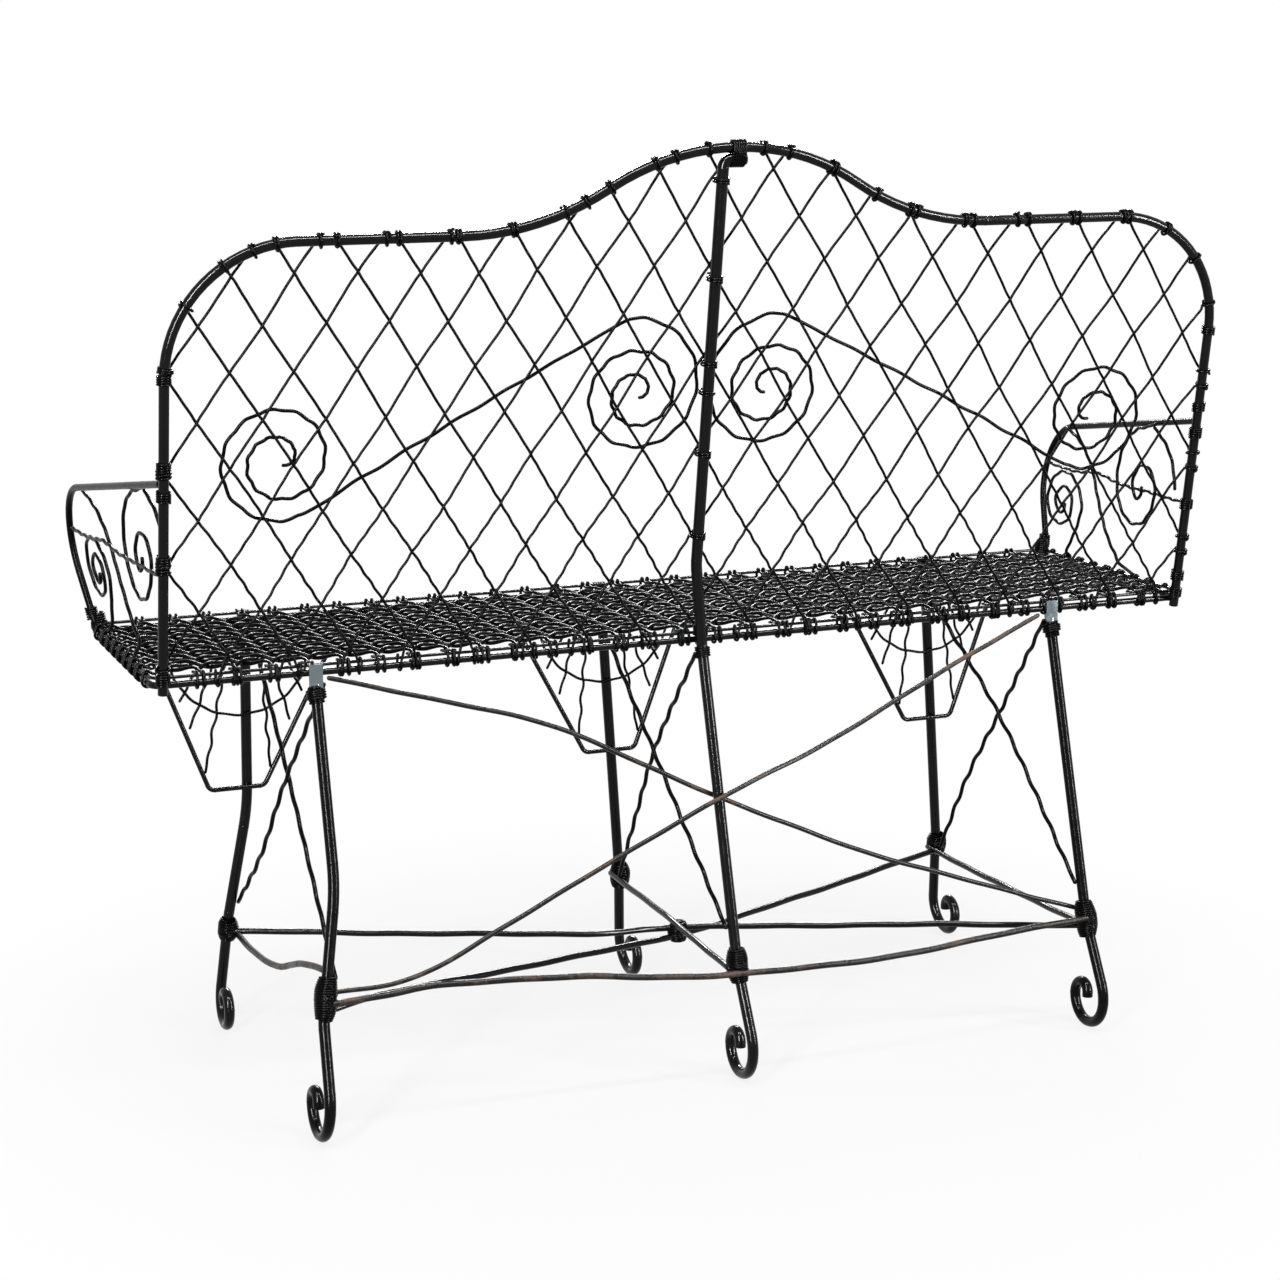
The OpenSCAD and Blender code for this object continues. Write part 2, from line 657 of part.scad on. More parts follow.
module arm_front_scroll(side) {
    curl = winding([-100, 69], 43, 20, -12, 1.9, 1);
    color(WIRE) placed() arm_wire(side, concat(reversed(curl), [[-62, 32]]), scroll_foot_y);
}
module arm_front_scroll_left() {
    arm_front_scroll(1);
}
module arm_front_scroll_right() {
    arm_front_scroll(-1);
}

module arm_rear_scroll(side) {
    color(WIRE) placed() {
        arm_wire(side, concat([[100, 178], [80, 172]], winding([75, 110], 60, 38, 108, 1.35, 1)), undef);
        arm_wire(side, [[108, 173], [124, 165], [140, 152], [149, 134], [154, 118]], undef);
    }
}
module arm_rear_scroll_left() {
    arm_rear_scroll(1);
}
module arm_rear_scroll_right() {
    arm_rear_scroll(-1);
}

module arm_brace(side) {
    color(WIRE) placed()
        arm_wire(side, [[-114, 150], [-98, 147], [-82, 141], [-66, 133], [-51, 123], [-38, 110], [-28, 96],
                        [-19, 82], [-9, 69], [2, 56], [14, 43], [26, 31], [37, 20]], brace_foot_y);
}
module arm_brace_left() {
    arm_brace(1);
}
module arm_brace_right() {
    arm_brace(-1);
}

// A straight wire from the arm's front to the post
strand_z = seat_h + 105;
module arm_strand(side) {
    front_y = -rail_y - arm_reach + arm_d + arm_wire_d / 2;
    rear_y = back_y + (strand_z - seat_h) * tan(back_lean) - hoop_d / 2 / cos(back_lean)
        - arm_wire_d / 2 * tan(back_lean) - fit;
    color(WIRE) placed()
        straight(on_arm(side, front_y, strand_z), on_arm(side, rear_y, strand_z), arm_wire_d);
}
module arm_strand_left() {
    arm_strand(1);
}
module arm_strand_right() {
    arm_strand(-1);
}

// Centre line of a leg: leg_at gives its point and leg_dir its direction at height z
function leg_lean(end, rear) =
    end == 0 ? -(rear ? rear_mid_lean : front_mid_lean) : end * (rear ? rear_splay : front_splay);
function leg_at(end, rear, z) =
    let (dir = rear ? 1 : -1,
         knee_y = rear ? rear_knee_y : front_knee_y,
         top_y = end == 0 && rear ? back_y : dir * rail_y,
         rake = rear ? rear_foot_rake : front_foot_rake)
    [end * leg_x + leg_lean(end, rear) * (seat_h - z) / seat_h - (end == 1 ? bow_at(z) : 0)
         + (end == 0 && rear && z > knee_h ? post_x1 * (z - knee_h) / (seat_h - knee_h) : 0),
     z > knee_h ? along(top_y, knee_y, (seat_h - z) / (seat_h - knee_h))
                : knee_y + dir * (knee_h - z) * tan(rake), z];
function bow_at(z) =
    left_leg_bow * max(0, min((leg_top_z - z) / (leg_top_z - bow_z), (z - knee_h) / (bow_z - knee_h)));
function leg_dir(end, rear, z) =
    unit(leg_at(end, rear, z + (z < knee_h ? -1 : 1)) - leg_at(end, rear, z)) * (z < knee_h ? -1 : 1);
// Point beside a leg for a rod of diameter d that runs along u, on the side that s chooses
function beside(end, rear, z, u, d, s) =
    leg_at(end, rear, z) + s * (leg_r + d / 2 + fit) * unit(cross(u, leg_dir(end, rear, z)));
// the rods run past the legs by this much
overrun = 12;

// Where a tie passes a front leg on its side sa and a rear leg on its side sb
function tie_ends(end_a, end_b, za, zb, sa, sb) =
    let (u = unit(leg_at(end_b, true, zb) - leg_at(end_a, false, za)))
    [beside(end_a, false, za, u, tie_d, sa), beside(end_b, true, zb, u, tie_d, sb)];
module tie_rod(ends, via = []) {
    u = unit(ends[1] - ends[0]);
    kinked_wire(concat([ends[0] - u * overrun], via, [ends[1] + u * overrun]), tie_d);
}
tie_step = tie_d + knuckle + fit;
tie_z = knee_h - 8;
// the two long ties cross at the knot, one over the other
knot_high = [-16, 38, tie_z];
knot_low = knot_high - [0, 0, tie_step];
high_tie = tie_ends(1, -1, tie_z, tie_z, 1, -1);
low_tie = tie_ends(-1, 1, tie_z - tie_step, tie_z - tie_step, -1, 1);

module long_tie_front_left() {
    color(BLACK) placed() tie_rod(high_tie, [knot_high]);
}
module long_tie_rear_left() {
    color(BLACK) placed() tie_rod(low_tie, [knot_low]);
}
module cross_tie_centre() {
    color(BLACK) placed() tie_rod(tie_ends(0, 0, tie_z + tie_step, tie_z + tie_step, 1, 1));
}
module cross_tie_right() {
    color(BLACK) placed() tie_rod(tie_ends(-1, -1, tie_z - tie_step, tie_z + tie_step + fit, 1, 1));
}
// this one rises and ends against the front of the rear leg
left_tie_z = 150;
module cross_tie_left() {
    z0 = tie_z + tie_step;
    u = [0, 1, 0];
    a = beside(1, false, z0, u, tie_d, -1);
    end = leg_at(1, true, left_tie_z);
    b = end - [0, (leg_r + fit) * 1.05 + tie_d / 8, 0];
    color(RUST) placed()
        bent_rod([a - u * overrun, [along(a[0], b[0], 0.5), 20, z0 - 4], b], [0, 90, 0], tie_d);
}

// Rear stretcher: behind the rear legs, a little lower in the middle
stretcher_z = knee_h + 4;
stretcher_dip = 13;
stretcher_kink = [290, 137];
module rear_stretcher() {
    u = [-1, 0, 0];
    a = beside(1, true, stretcher_z, u, tie_d, 1);
    m = beside(0, true, stretcher_z - stretcher_dip, u, tie_d, 1);
    b = beside(-1, true, stretcher_z, u, tie_d, 1);
    color(RUST) placed()
        kinked_wire([a - u * overrun, [stretcher_kink[0], along(a[1], m[1], 0.3), stretcher_kink[1]],
                     m, b + u * overrun], tie_d);
}

// Rear braces: from under the rear rail, past the centre leg, to the other rear knee
brace_top = [375, rail_y, leg_top_z - brace_d / 2 - fit];
brace_cross_z = 286;
// heights of their feet, and the points where they bend on the way
left_brace_foot_z = 128;
left_brace_bends = [[190, 152, 377], [-195, 178, 198]];
right_brace_foot_z = 138;
right_brace_bend = [300, 188, 150];
module rear_brace(side, foot_z, high, low) {
    start = [side * brace_top[0], brace_top[1], brace_top[2]];
    u = unit(leg_at(-side, true, foot_z) - start);
    m = beside(0, true, brace_cross_z, u, brace_d, -1);
    b = beside(-side, true, foot_z, u, brace_d, -side);
    color(RUST) placed()
        kinked_wire(concat([start], high, [m, low, b + unit(b - low) * overrun]), brace_d);
}
module rear_brace_left() {
    rear_brace(1, left_brace_foot_z, [left_brace_bends[0]], left_brace_bends[1]);
}
module rear_brace_right() {
    rear_brace(-1, right_brace_foot_z, [], right_brace_bend);
}

// Two crossed stays beside one pair of legs, on side s of them; shift moves their crossing
stay_cross = [18, 304];
stay_low = [-60, 212];
stay_end_y = -128;
stay_rear_top_z = 428;
stay_front_top_z = 424;
stay_front_foot_z = knee_h + 18;
module leg_stays(end, s, shift, low_end) {
    u = [0, 1, 0];
    step = stay_d + knuckle + fit;
    top_rear = beside(end, true, stay_rear_top_z, u, stay_d, s);
    top_front = beside(end, false, stay_front_top_z, u, stay_d, s);
    low_rear = beside(end, true, stay_foot_h, u, stay_d, s);
    low_front = beside(end, false, stay_front_foot_z, u, stay_d, s);
    low = low_end == undef ? low_front : low_end;
    xa = along(top_rear[0], low_front[0], 0.45) + shift;
    color(WIRE) placed() {
        kinked_wire([top_rear, [xa, stay_cross[0], stay_cross[1]],
                     [along(xa, low[0], 0.6), stay_low[0], stay_low[1]], low], stay_d);
        kinked_wire([top_front, [xa + s * step, stay_cross[0], stay_cross[1]], low_rear], stay_d);
    }
}
// the rod of a cross tie under the end of a stay
function on_tie(end, z) =
    let (p = beside(end, false, z, [0, 1, 0], tie_d, 1))
    [p[0], stay_end_y, z + (tie_d + stay_d) / 2 + fit];
module leg_stays_left() {
    leg_stays(1, -1, 0);
}
module leg_stays_centre() {
    leg_stays(0, 1, 0, on_tie(0, tie_z + tie_step));
}
module leg_stays_right() {
    leg_stays(-1, 1, -10, on_tie(-1, tie_z - tie_step + 2));
}

// Brackets hang under the front rail, behind the front legs
bracket_top_z = leg_top_z;
bracket_low_z = seat_h - bracket_h;
bracket_bend_r = 8;
// the centre and right brackets stand a little to the left of their legs
bracket_drift = 4.5;
function bracket_x(end, z) =
    end * leg_x + leg_lean(end, false) * (seat_h - z) / seat_h + (1 - end) * bracket_drift;
bracket_y = leg_at(0, false, bracket_low_z)[1] + leg_r + bracket_d / 2 + 2 * fit;
module bracket(end) {
    x0 = bracket_x(end, seat_h);
    x1 = bracket_x(end, bracket_low_z);
    w0 = bracket_top_w / 2;
    w1 = bracket_foot_w / 2;
    color(BLACK) placed()
        bent_rod([[x0 - w0, bracket_y, bracket_top_z - bracket_d / 4],
                  [x1 - w1, bracket_y, bracket_low_z], [x1 + w1, bracket_y, bracket_low_z],
                  [x0 + w0, bracket_y, bracket_top_z - bracket_d / 4]],
                 [0, bracket_bend_r, bracket_bend_r, 0], bracket_d);
}
module bracket_left() {
    bracket(1);
}
module bracket_centre() {
    bracket(0);
}
module bracket_right() {
    bracket(-1);
}

// Half the inner width of a bracket's slanted sides at height z
function bracket_half(z) =
    along(bracket_foot_w, bracket_top_w, (z - bracket_low_z) / bracket_h) / 2;
// Each ray starts this far beside the leg's top and ends on the bracket's side at this height
rays = [[13.5, 276], [17.5, 322], [24, 352]];
arc_drop = 20;
// A ray beside the leg top that ends just inside the bracket's side at height z
module ray(end, s, top_s, z) {
    leg_top = leg_at(end, false, seat_h)[0];
    p = [leg_top + s * top_s, bracket_y, bracket_top_z - ray_d / 2];
    x = s * bracket_half(z);
    target = [bracket_x(end, z) + x, bracket_y, z];
    v = unit(target - p);
    slope = atan2((bracket_top_w - bracket_foot_w) / 2, bracket_h);
    a = slope + asin(abs(v[0])) - s * 5;
    straight(p, target - v * ((bracket_d / 2 + 2 * fit) / sin(a) + ray_d / 2 / tan(a)), ray_d);
}
module bracket_wires(end) {
    arc_y = bracket_y + ray_d + fit;
    arc_x = bracket_x(end, (bracket_top_z + bracket_low_z) / 2);
    low = bracket_top_z - arc_drop - bracket_arc_r;
    color(WIRE) placed() {
        bent_rod([[arc_x + bracket_arc_r, arc_y, bracket_top_z - fit], [arc_x + bracket_arc_r, arc_y, low],
                  [arc_x - bracket_arc_r, arc_y, low], [arc_x - bracket_arc_r, arc_y, bracket_top_z - fit]],
                 [0, bracket_arc_r, bracket_arc_r, 0], ray_d);
        for (s = [-1, 1], r = rays) ray(end, s, r[0], r[1]);
    }
}
module bracket_wires_left() {
    bracket_wires(1);
}
module bracket_wires_centre() {
    bracket_wires(0);
}
module bracket_wires_right() {
    bracket_wires(-1);
}

// Lashings round the posts of the hoop: one at each arm joint and strand, and two loose ones
post_dir = on_back(hoop_w / 2, shoulder_h) - on_back(hoop_foot_w / 2, 0);
// turns centred on height h, wherever no wire of the lattice ends on the post
module post_lashing(side, h, n) {
    dir = unit([side * post_dir[0], post_dir[1], post_dir[2]]);
    ends = [for (lean = [-1, 1], p = hoop_ends(lean)) if (p[0] * side > 0) p];
    for (i = [0 : n - 1], g = [h + (i - (n - 1) / 2) * (lash_d + fit)])
        if (clear_points([side * post_x(g), g], ends, lash_d + fit))
            ring(on_back(side * post_x(g), g), dir, hoop_d);
}
module post_lashings() {
    color(WIRE) placed() {
        for (side = [-1, 1], h = [arm_h - 11.5, arm_h + 16, arm_h + 97, 8])
            post_lashing(side, h, post_turns);
        for (h = left_post_h) post_lashing(1, h, post_turns);
        for (h = right_post_h) post_lashing(-1, h, post_turns);
    }
}
post_turns = 5;
// heights of the loose lashings on each post
left_post_h = [122];
right_post_h = [106, 27];

// Flat loops that bind the post's bent top to the hoop
module crest_lashing() {
    gap_h = post_top_h - crest_h;
    r = leg_r + fit;
    n = 5;
    p = on_back(post_x0 - post_arm + 1, crest_h - crest_drop(post_x0 - post_arm + 1));
    tilt = asin((post_x0 - post_arm / 2) / crest_r);
    color(WIRE) placed()
        for (i = [0 : n - 1])
            translate(p) rotate([-back_lean, 0, 0]) rotate([0, tilt, 0])
                translate([i * (lash_d + fit) - 2, 0, gap_h]) rotate([90, 0, 90])
                    linear_extrude(lash_d) difference() {
                        oblong(r + lash_d, -gap_h);
                        oblong(r, -gap_h);
                    }
}
module oblong(r, rise) {
    circle(r = r, $fn = ROUND);
    translate([0, rise]) circle(r = r, $fn = ROUND);
    translate([-r, 0]) square([2 * r, rise]);
}

// Turns of wire round each leg, over and under the ties at its knee
module leg_lashing(end, rear, z, n) {
    lashing(leg_at(end, rear, z), leg_dir(end, rear, z), leg_d, n);
}
low_turns_z = tie_z - 2 * tie_step - 7;
high_turns_z = tie_z + 2 * tie_step + 2;
module knee_lashings() {
    color(WIRE) placed()
        for (end = [-1, 0, 1]) {
            leg_lashing(end, false, high_turns_z, 4);
            leg_lashing(end, false, low_turns_z, 4);
            leg_lashing(end, true, low_turns_z - 4, 4);
        }
}
leg_top_turns = 5;
leg_top_turns_z = tab_top - tab_h - 8;
module leg_top_lashings() {
    color(WIRE) placed()
        for (end = [-1, 0, 1]) {
            leg_lashing(end, false, leg_top_turns_z, leg_top_turns);
            if (end != 0) leg_lashing(end, true, leg_top_turns_z, leg_top_turns);
        }
}

// Turns on the two long ties beside the knot in the middle
module cross_lashings() {
    reach = 26;
    color(WIRE) placed()
        for (t = [[high_tie, knot_high], [low_tie, knot_low]], e = [0, 1]) {
            u = unit(t[0][e] - t[1]);
            lashing(t[1] + u * reach, u, tie_d, 4);
        }
}

back_hoop();
centre_post_and_leg();
rear_leg_left();
rear_leg_right();
front_leg_left();
front_leg_centre();
front_leg_right();
seat_rail();
seat_edge_rod();
seat_weave_left();
seat_weave_right();
seat_strands_long();
seat_strands_end();
seat_wraps_front();
seat_wraps_rear();
seat_wraps_ends();
back_lattice_left();
back_lattice_right();
lattice_rings_hoop();
lattice_rings_post();
lattice_rings_rail();
back_scroll_left();
back_scroll_right();
arm_rail_left();
arm_rail_right();
arm_front_scroll_left();
arm_front_scroll_right();
arm_rear_scroll_left();
arm_rear_scroll_right();
arm_brace_left();
arm_brace_right();
arm_strand_left();
arm_strand_right();
long_tie_front_left();
long_tie_rear_left();
cross_tie_left();
cross_tie_centre();
cross_tie_right();
rear_stretcher();
rear_brace_left();
rear_brace_right();
leg_stays_left();
leg_stays_centre();
leg_stays_right();
bracket_left();
bracket_centre();
bracket_right();
bracket_wires_left();
bracket_wires_centre();
bracket_wires_right();
post_lashings();
crest_lashing();
knee_lashings();
leg_top_lashings();
cross_lashings();
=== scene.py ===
"""Wrought iron bench: woven seat, laced back, scrolls, lashings and finishes round the frame.

Paths are worked out in millimetres from the middle of the seat, with +X along the bench, +Y
towards its back and +Z up, and become metres when a mesh is made.
"""

import logging
import math
from dataclasses import dataclass, field, replace
from enum import Enum

import bpy
import numpy as np
from mathutils import Matrix, Vector


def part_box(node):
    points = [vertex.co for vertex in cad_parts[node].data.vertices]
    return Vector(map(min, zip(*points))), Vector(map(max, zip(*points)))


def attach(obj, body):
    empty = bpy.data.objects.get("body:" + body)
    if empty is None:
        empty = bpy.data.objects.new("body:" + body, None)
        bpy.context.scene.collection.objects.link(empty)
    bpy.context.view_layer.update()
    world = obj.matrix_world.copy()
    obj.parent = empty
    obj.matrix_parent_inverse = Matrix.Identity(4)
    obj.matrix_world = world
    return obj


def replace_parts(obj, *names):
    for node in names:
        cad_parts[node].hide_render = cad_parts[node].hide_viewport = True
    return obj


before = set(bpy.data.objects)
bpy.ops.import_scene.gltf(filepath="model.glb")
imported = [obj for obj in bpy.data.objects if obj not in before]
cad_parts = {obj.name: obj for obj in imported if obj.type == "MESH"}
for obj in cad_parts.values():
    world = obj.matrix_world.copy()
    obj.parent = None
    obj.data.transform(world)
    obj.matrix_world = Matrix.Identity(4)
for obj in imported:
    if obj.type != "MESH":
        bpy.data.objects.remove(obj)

LOG = logging.getLogger("bench")
Array = np.ndarray
MM = 0.001
TURN = 2 * math.pi
ACROSS = np.array([1.0, 0.0, 0.0])
REARWARD = np.array([0.0, 1.0, 0.0])
UPWARD = np.array([0.0, 0.0, 1.0])


class Slot(Enum):
    """The record's material slots."""

    ROD = "black_rod"
    WIRE = "crimped_wire"
    LASHING = "lashing_wire"
    RUSTED = "rusted_rod"


Material, Tree, Socket = bpy.types.Material, bpy.types.NodeTree, bpy.types.NodeSocket
Finishes = dict[Slot, Material]

# Sizes shared by the pieces, in millimetres.

SEAT_H = 440.0
RAIL_X = 545.0
RAIL_Y = 141.5
RAIL_R = 3.25
EDGE_R = 1.6
EDGE_Z = 447.05
BACK_Y = 150.55
LEAN = math.radians(10.3)
HOOP_FOOT = 537.0
HOOP_HALF = 533.0
SHOULDER_H = 412.0
CREST_H = 488.0
HOLLOW_R = 265.0
CREST_R = 235.0
SHOULDER_R = 120.0
HOOP_R = 4.75
LEG_R = 5.5
TIE_R = 3.5
ARM_R = 4.2
LEG_X = 392.0
LEG_TOP_Z = 436.45
KNEE_H = 118.0
TIE_Z = 110.0
TIE_STEP = 7.6
TAB_H = 26.0
KNOT = (-16.0, 38.0)
CREST_RISE = CREST_H - SHOULDER_H
SWEEP_RUN = math.sqrt(2 * (HOLLOW_R + CREST_R) * CREST_RISE - CREST_RISE ** 2)
CREST_REACH = CREST_R * SWEEP_RUN / (HOLLOW_R + CREST_R)
POST_X = 14.0
KNOB_X = 3.0
KNOB_ROOM = 17.6
KNOB_DROP = 14.0

# Sizes of the legs, the first four by whether the leg is at the rear.

END_SPREAD = {True: 24.0, False: 36.0}
MID_SPREAD = {True: -18.0, False: -32.0}
FOOT_RAKE = {True: math.radians(24.0), False: math.radians(12.0)}
KNEE_Y = {True: RAIL_Y + 60.0, False: -RAIL_Y - 14.0}
BOW, BOW_Z = 14.0, 240.0
POST_JOG = 3.0
ARM_FLARE, ARM_RISE = 20.0, 143.0


def unit(v: Array) -> Array:
    """Vectors divided by their own lengths."""
    return v / np.linalg.norm(v, axis=-1, keepdims=True)


def directions(path: Array) -> Array:
    """Unit direction at each point of a path: the difference between its two neighbours."""
    return unit(np.gradient(path, axis=0))


def lengths(path: Array) -> Array:
    """Distance along a path from its start to each of its points."""
    return np.concatenate([[0.0], np.cumsum(np.linalg.norm(np.diff(path, axis=0), axis=1))])


def evened(path: Array, step: float) -> Array:
    """A path walked again in even steps.

    Args:
        path: Points in millimetres.
        step: Distance between the new points.

    Returns:
        Points at equal distances along the straight lines between the given ones.
    """
    s = lengths(path)
    t = np.linspace(0.0, s[-1], max(3, int(s[-1] / step) + 1))
    return np.stack([np.interp(t, s, path[:, k]) for k in range(3)], axis=1)


def curved(points: Array, step: float) -> Array:
    """A smooth curve through points: cubics whose slopes are half the step between neighbours.

    Args:
        points: Points in millimetres.
        step: Distance between the points of the curve.

    Returns:
        Points on the curve.
    """
    p = np.asarray(points, float)
    p = np.concatenate([2 * p[:1] - p[1:2], p, 2 * p[-1:] - p[-2:-1]])
    t = np.linspace(0.0, 1.0, 12, endpoint=False)[None, :, None]
    a, b, c, d = (p[k:len(p) - 3 + k, None, :] for k in range(4))
    curve = 0.5 * (2 * b + (c - a) * t + (2 * a - 5 * b + 4 * c - d) * t ** 2
                   + (3 * b - a - 3 * c + d) * t ** 3)
    return evened(np.concatenate([curve.reshape(-1, 3), p[-2:-1]]), step)


def crimped(path: Array, ref: Array, depth: float, wave: float, phase: float = 0.0) -> Array:
    """A path with a side-to-side wave that dies out at both ends.

    Args:
        path: Points in millimetres.
        ref: Axis square to which the wave lies.
        depth: Height of the wave on each side.
        wave: Length of one wave.
        phase: Start of the wave, in turns.

    Returns:
        Points moved by depth times the sine of the distance along the path.
    """
    s = lengths(path)
    side = unit(np.cross(np.broadcast_to(ref, path.shape), directions(path)))
    fade = np.clip(np.minimum(s, s[-1] - s) / wave, 0.0, 1.0)
    return path + side * (depth * fade * np.sin(TURN * (s / wave + phase)))[:, None]


def coil(centre: Array, axis: Array, start: Array, radii: tuple[float, float], pitch: float,
         turns: float, steps: int = 14, first: float = 0.0) -> Array:
    """An oval helix: the sum of a turning vector and a steady climb along the axis.

    Args:
        centre: Middle of the coil's first turn.
        axis: Direction of the climb.
        start: Direction, square to the axis, of the coil's zero angle.
        radii: Half widths along the start direction and square to it.
        pitch: Climb of each turn; the coil is centred on the centre.
        turns: Number of turns.
        steps: Points in each turn.
        first: Angle of the first point, in turns.

    Returns:
        Points of the helix.
    """
    axis = unit(np.asarray(axis, float))
    a = unit(start - axis * np.dot(start, axis))
    b = np.cross(axis, a)
    t = np.linspace(0.0, turns, int(abs(turns) * steps) + 2)[:, None]
    w = TURN * (t + first)
    return (centre + axis * pitch * (t - turns / 2)
            + radii[0] * np.cos(w) * a + radii[1] * np.sin(w) * b)


class Sheaf:
    """Round wires gathered into one mesh: circles carried along paths, with round ends."""

    def __init__(self, name: str, slot: Slot, sides: int = 8) -> None:
        """Starts an empty sheaf.

        Args:
            name: Name of the object that it becomes.
            slot: Material slot that it takes its finish from.
            sides: Number of sides of each wire.
        """
        self.name, self.slot, self.sides = name, slot, sides
        self.points: list[Array] = []
        self.quads: list[Array] = []
        self.fans: list[Array] = []
        self.count = 0

    def add(self, path: Array, radius: float | Array, ref: Array) -> None:
        """Adds one wire.

        Ring i is the path's point i plus radius times (cos a times side plus sin a times up),
        where side is square to ref and to the path, and up is square to both. Two smaller
        rings and a pole close each end as half a ball.

        Args:
            path: Points in millimetres.
            radius: Radius of the wire, or one for each point.
            ref: Axis that keeps the rings from turning, or one for each point.
        """
        path = np.asarray(path, float)
        r = np.broadcast_to(np.asarray(radius, float), len(path))
        t = directions(path)
        side = unit(np.cross(np.broadcast_to(ref, path.shape), t))
        up = np.cross(t, side)
        tip = np.radians([60.0, 30.0])
        before = path[0] - t[0] * r[0] * np.sin(tip)[:, None]
        after = path[-1] + t[-1] * r[-1] * np.sin(tip[::-1])[:, None]
        mid = np.concatenate([before, path, after])
        rr = np.concatenate([r[0] * np.cos(tip), r, r[-1] * np.cos(tip[::-1])])
        side = np.concatenate([side[[0, 0]], side, side[[-1, -1]]])
        up = np.concatenate([up[[0, 0]], up, up[[-1, -1]]])
        a = np.arange(self.sides) * TURN / self.sides
        rings = mid[:, None] + rr[:, None, None] * (np.cos(a)[:, None] * side[:, None]
                                                    + np.sin(a)[:, None] * up[:, None])
        n, m = rings.shape[:2]
        j = np.arange(m)
        k = (j + 1) % m
        i = np.arange(n - 1)[:, None] * m
        quads = np.stack([i + j, i + k, i + m + k, i + m + j], axis=-1).reshape(-1, 4)
        low, high, last = n * m, n * m + 1, (n - 1) * m
        fans = np.concatenate([np.stack([np.full(m, low), k, j], axis=1),
                               np.stack([np.full(m, high), last + j, last + k], axis=1)])
        poles = np.stack([path[0] - t[0] * r[0], path[-1] + t[-1] * r[-1]])
        self.points.append(np.concatenate([rings.reshape(-1, 3), poles]))
        self.quads.append(quads + self.count)
        self.fans.append(fans + self.count)
        self.count += n * m + 2

    def build(self, finishes: Finishes) -> bpy.types.Object:
        """Makes the mesh and dresses it.

        Args:
            finishes: Material for each slot.

        Returns:
            The object, at the origin and riding on the bench's one body.
        """
        middle = np.array([0.0, seat_middle(), 0.0])
        points = (np.concatenate(self.points) * MM + middle).astype(np.float32)
        quads, fans = np.concatenate(self.quads), np.concatenate(self.fans)
        mesh = bpy.data.meshes.new(self.name)
        mesh.vertices.add(len(points))
        mesh.vertices.foreach_set("co", points.ravel())
        corners = np.concatenate([quads.ravel(), fans.ravel()]).astype(np.int32)
        mesh.loops.add(len(corners))
        mesh.loops.foreach_set("vertex_index", corners)
        starts = np.concatenate([np.arange(len(quads)) * 4,
                                 len(quads) * 4 + np.arange(len(fans)) * 3]).astype(np.int32)
        mesh.polygons.add(len(starts))
        mesh.polygons.foreach_set("loop_start", starts)
        mesh.polygons.foreach_set("use_smooth", np.ones(len(starts), dtype=bool))
        mesh.update(calc_edges=True)
        mesh.validate()
        mesh.materials.append(finishes[self.slot])
        piece = bpy.data.objects.new(self.name, mesh)
        bpy.context.scene.collection.objects.link(piece)
        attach(piece, "root")
        LOG.info("%s: %d wires, %d triangles", self.name, len(self.points),
                 2 * len(quads) + len(fans))
        return piece


def seat_middle() -> float:
    """Place of the seat's middle on the Y axis in metres: half the sum of the rail's two sides."""
    low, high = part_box("seat_rail")
    return (low[1] + high[1]) / 2


def on_back(x: Array | float, h: Array | float, off: Array | float = 0.0) -> Array:
    """Points of the sloping back.

    Args:
        x: Distance to the side.
        h: Distance up the slope from the seat.
        off: Distance behind the plane of the hoop.

    Returns:
        The hoop's foot plus h along the slope plus off square to it.
    """
    x, h, off = np.broadcast_arrays(np.asarray(x, float), h, off)
    return np.stack([x, BACK_Y + h * math.sin(LEAN) + off * math.cos(LEAN),
                     SEAT_H + h * math.cos(LEAN) - off * math.sin(LEAN)], axis=-1)


UP_SLOPE = np.array([0.0, math.sin(LEAN), math.cos(LEAN)])
OFF_SLOPE = np.array([0.0, math.cos(LEAN), -math.sin(LEAN)])


def bulge(r: float, a: Array) -> Array:
    """Height of an arc over its centre: the root of radius squared less distance squared."""
    return np.sqrt(np.maximum(r ** 2 - a ** 2, 0.0))


def hoop_height(x: Array) -> Array:
    """Finds the height of the hoop.

    Args:
        x: Distance to the side.

    Returns:
        The crest's arc, the hollow's arc, the level or the shoulder's arc, whichever is there.
    """
    a = np.abs(x)
    crest = CREST_H - CREST_R + bulge(CREST_R, a)
    hollow = SHOULDER_H + HOLLOW_R - bulge(HOLLOW_R, SWEEP_RUN - a)
    bend = SHOULDER_H - SHOULDER_R + bulge(SHOULDER_R, a - HOOP_HALF + SHOULDER_R)
    return np.select([a < CREST_REACH, a < SWEEP_RUN, a < HOOP_HALF - SHOULDER_R],
                     [crest, hollow, np.full_like(a, SHOULDER_H)], bend)


def post_half(h: Array) -> Array:
    """Half the width between the hoop's posts at height h, changing evenly to the shoulders."""
    return HOOP_FOOT + (HOOP_HALF - HOOP_FOOT) * np.minimum(h, SHOULDER_H) / SHOULDER_H


def on_arm(side: int, y: Array, z: Array, lap: float = 0.0) -> Array:
    """Points of an arm, which flares outwards to its front and top.

    Args:
        side: 1 for the left arm, -1 for the right.
        y: Distance to the rear.
        z: Height.
        lap: Distance inside the arm's own plane.

    Returns:
        Points on the arm.
    """
    y, z = np.asarray(y, float), np.asarray(z, float)
    front = np.clip((BACK_Y - y) / (BACK_Y + RAIL_Y), 0.0, 1.2)
    x = (HOOP_FOOT + (RAIL_X - HOOP_FOOT) * front
         + ARM_FLARE * front * (z - SEAT_H) / ARM_RISE - lap)
    return np.stack([side * x, y, z], axis=-1)


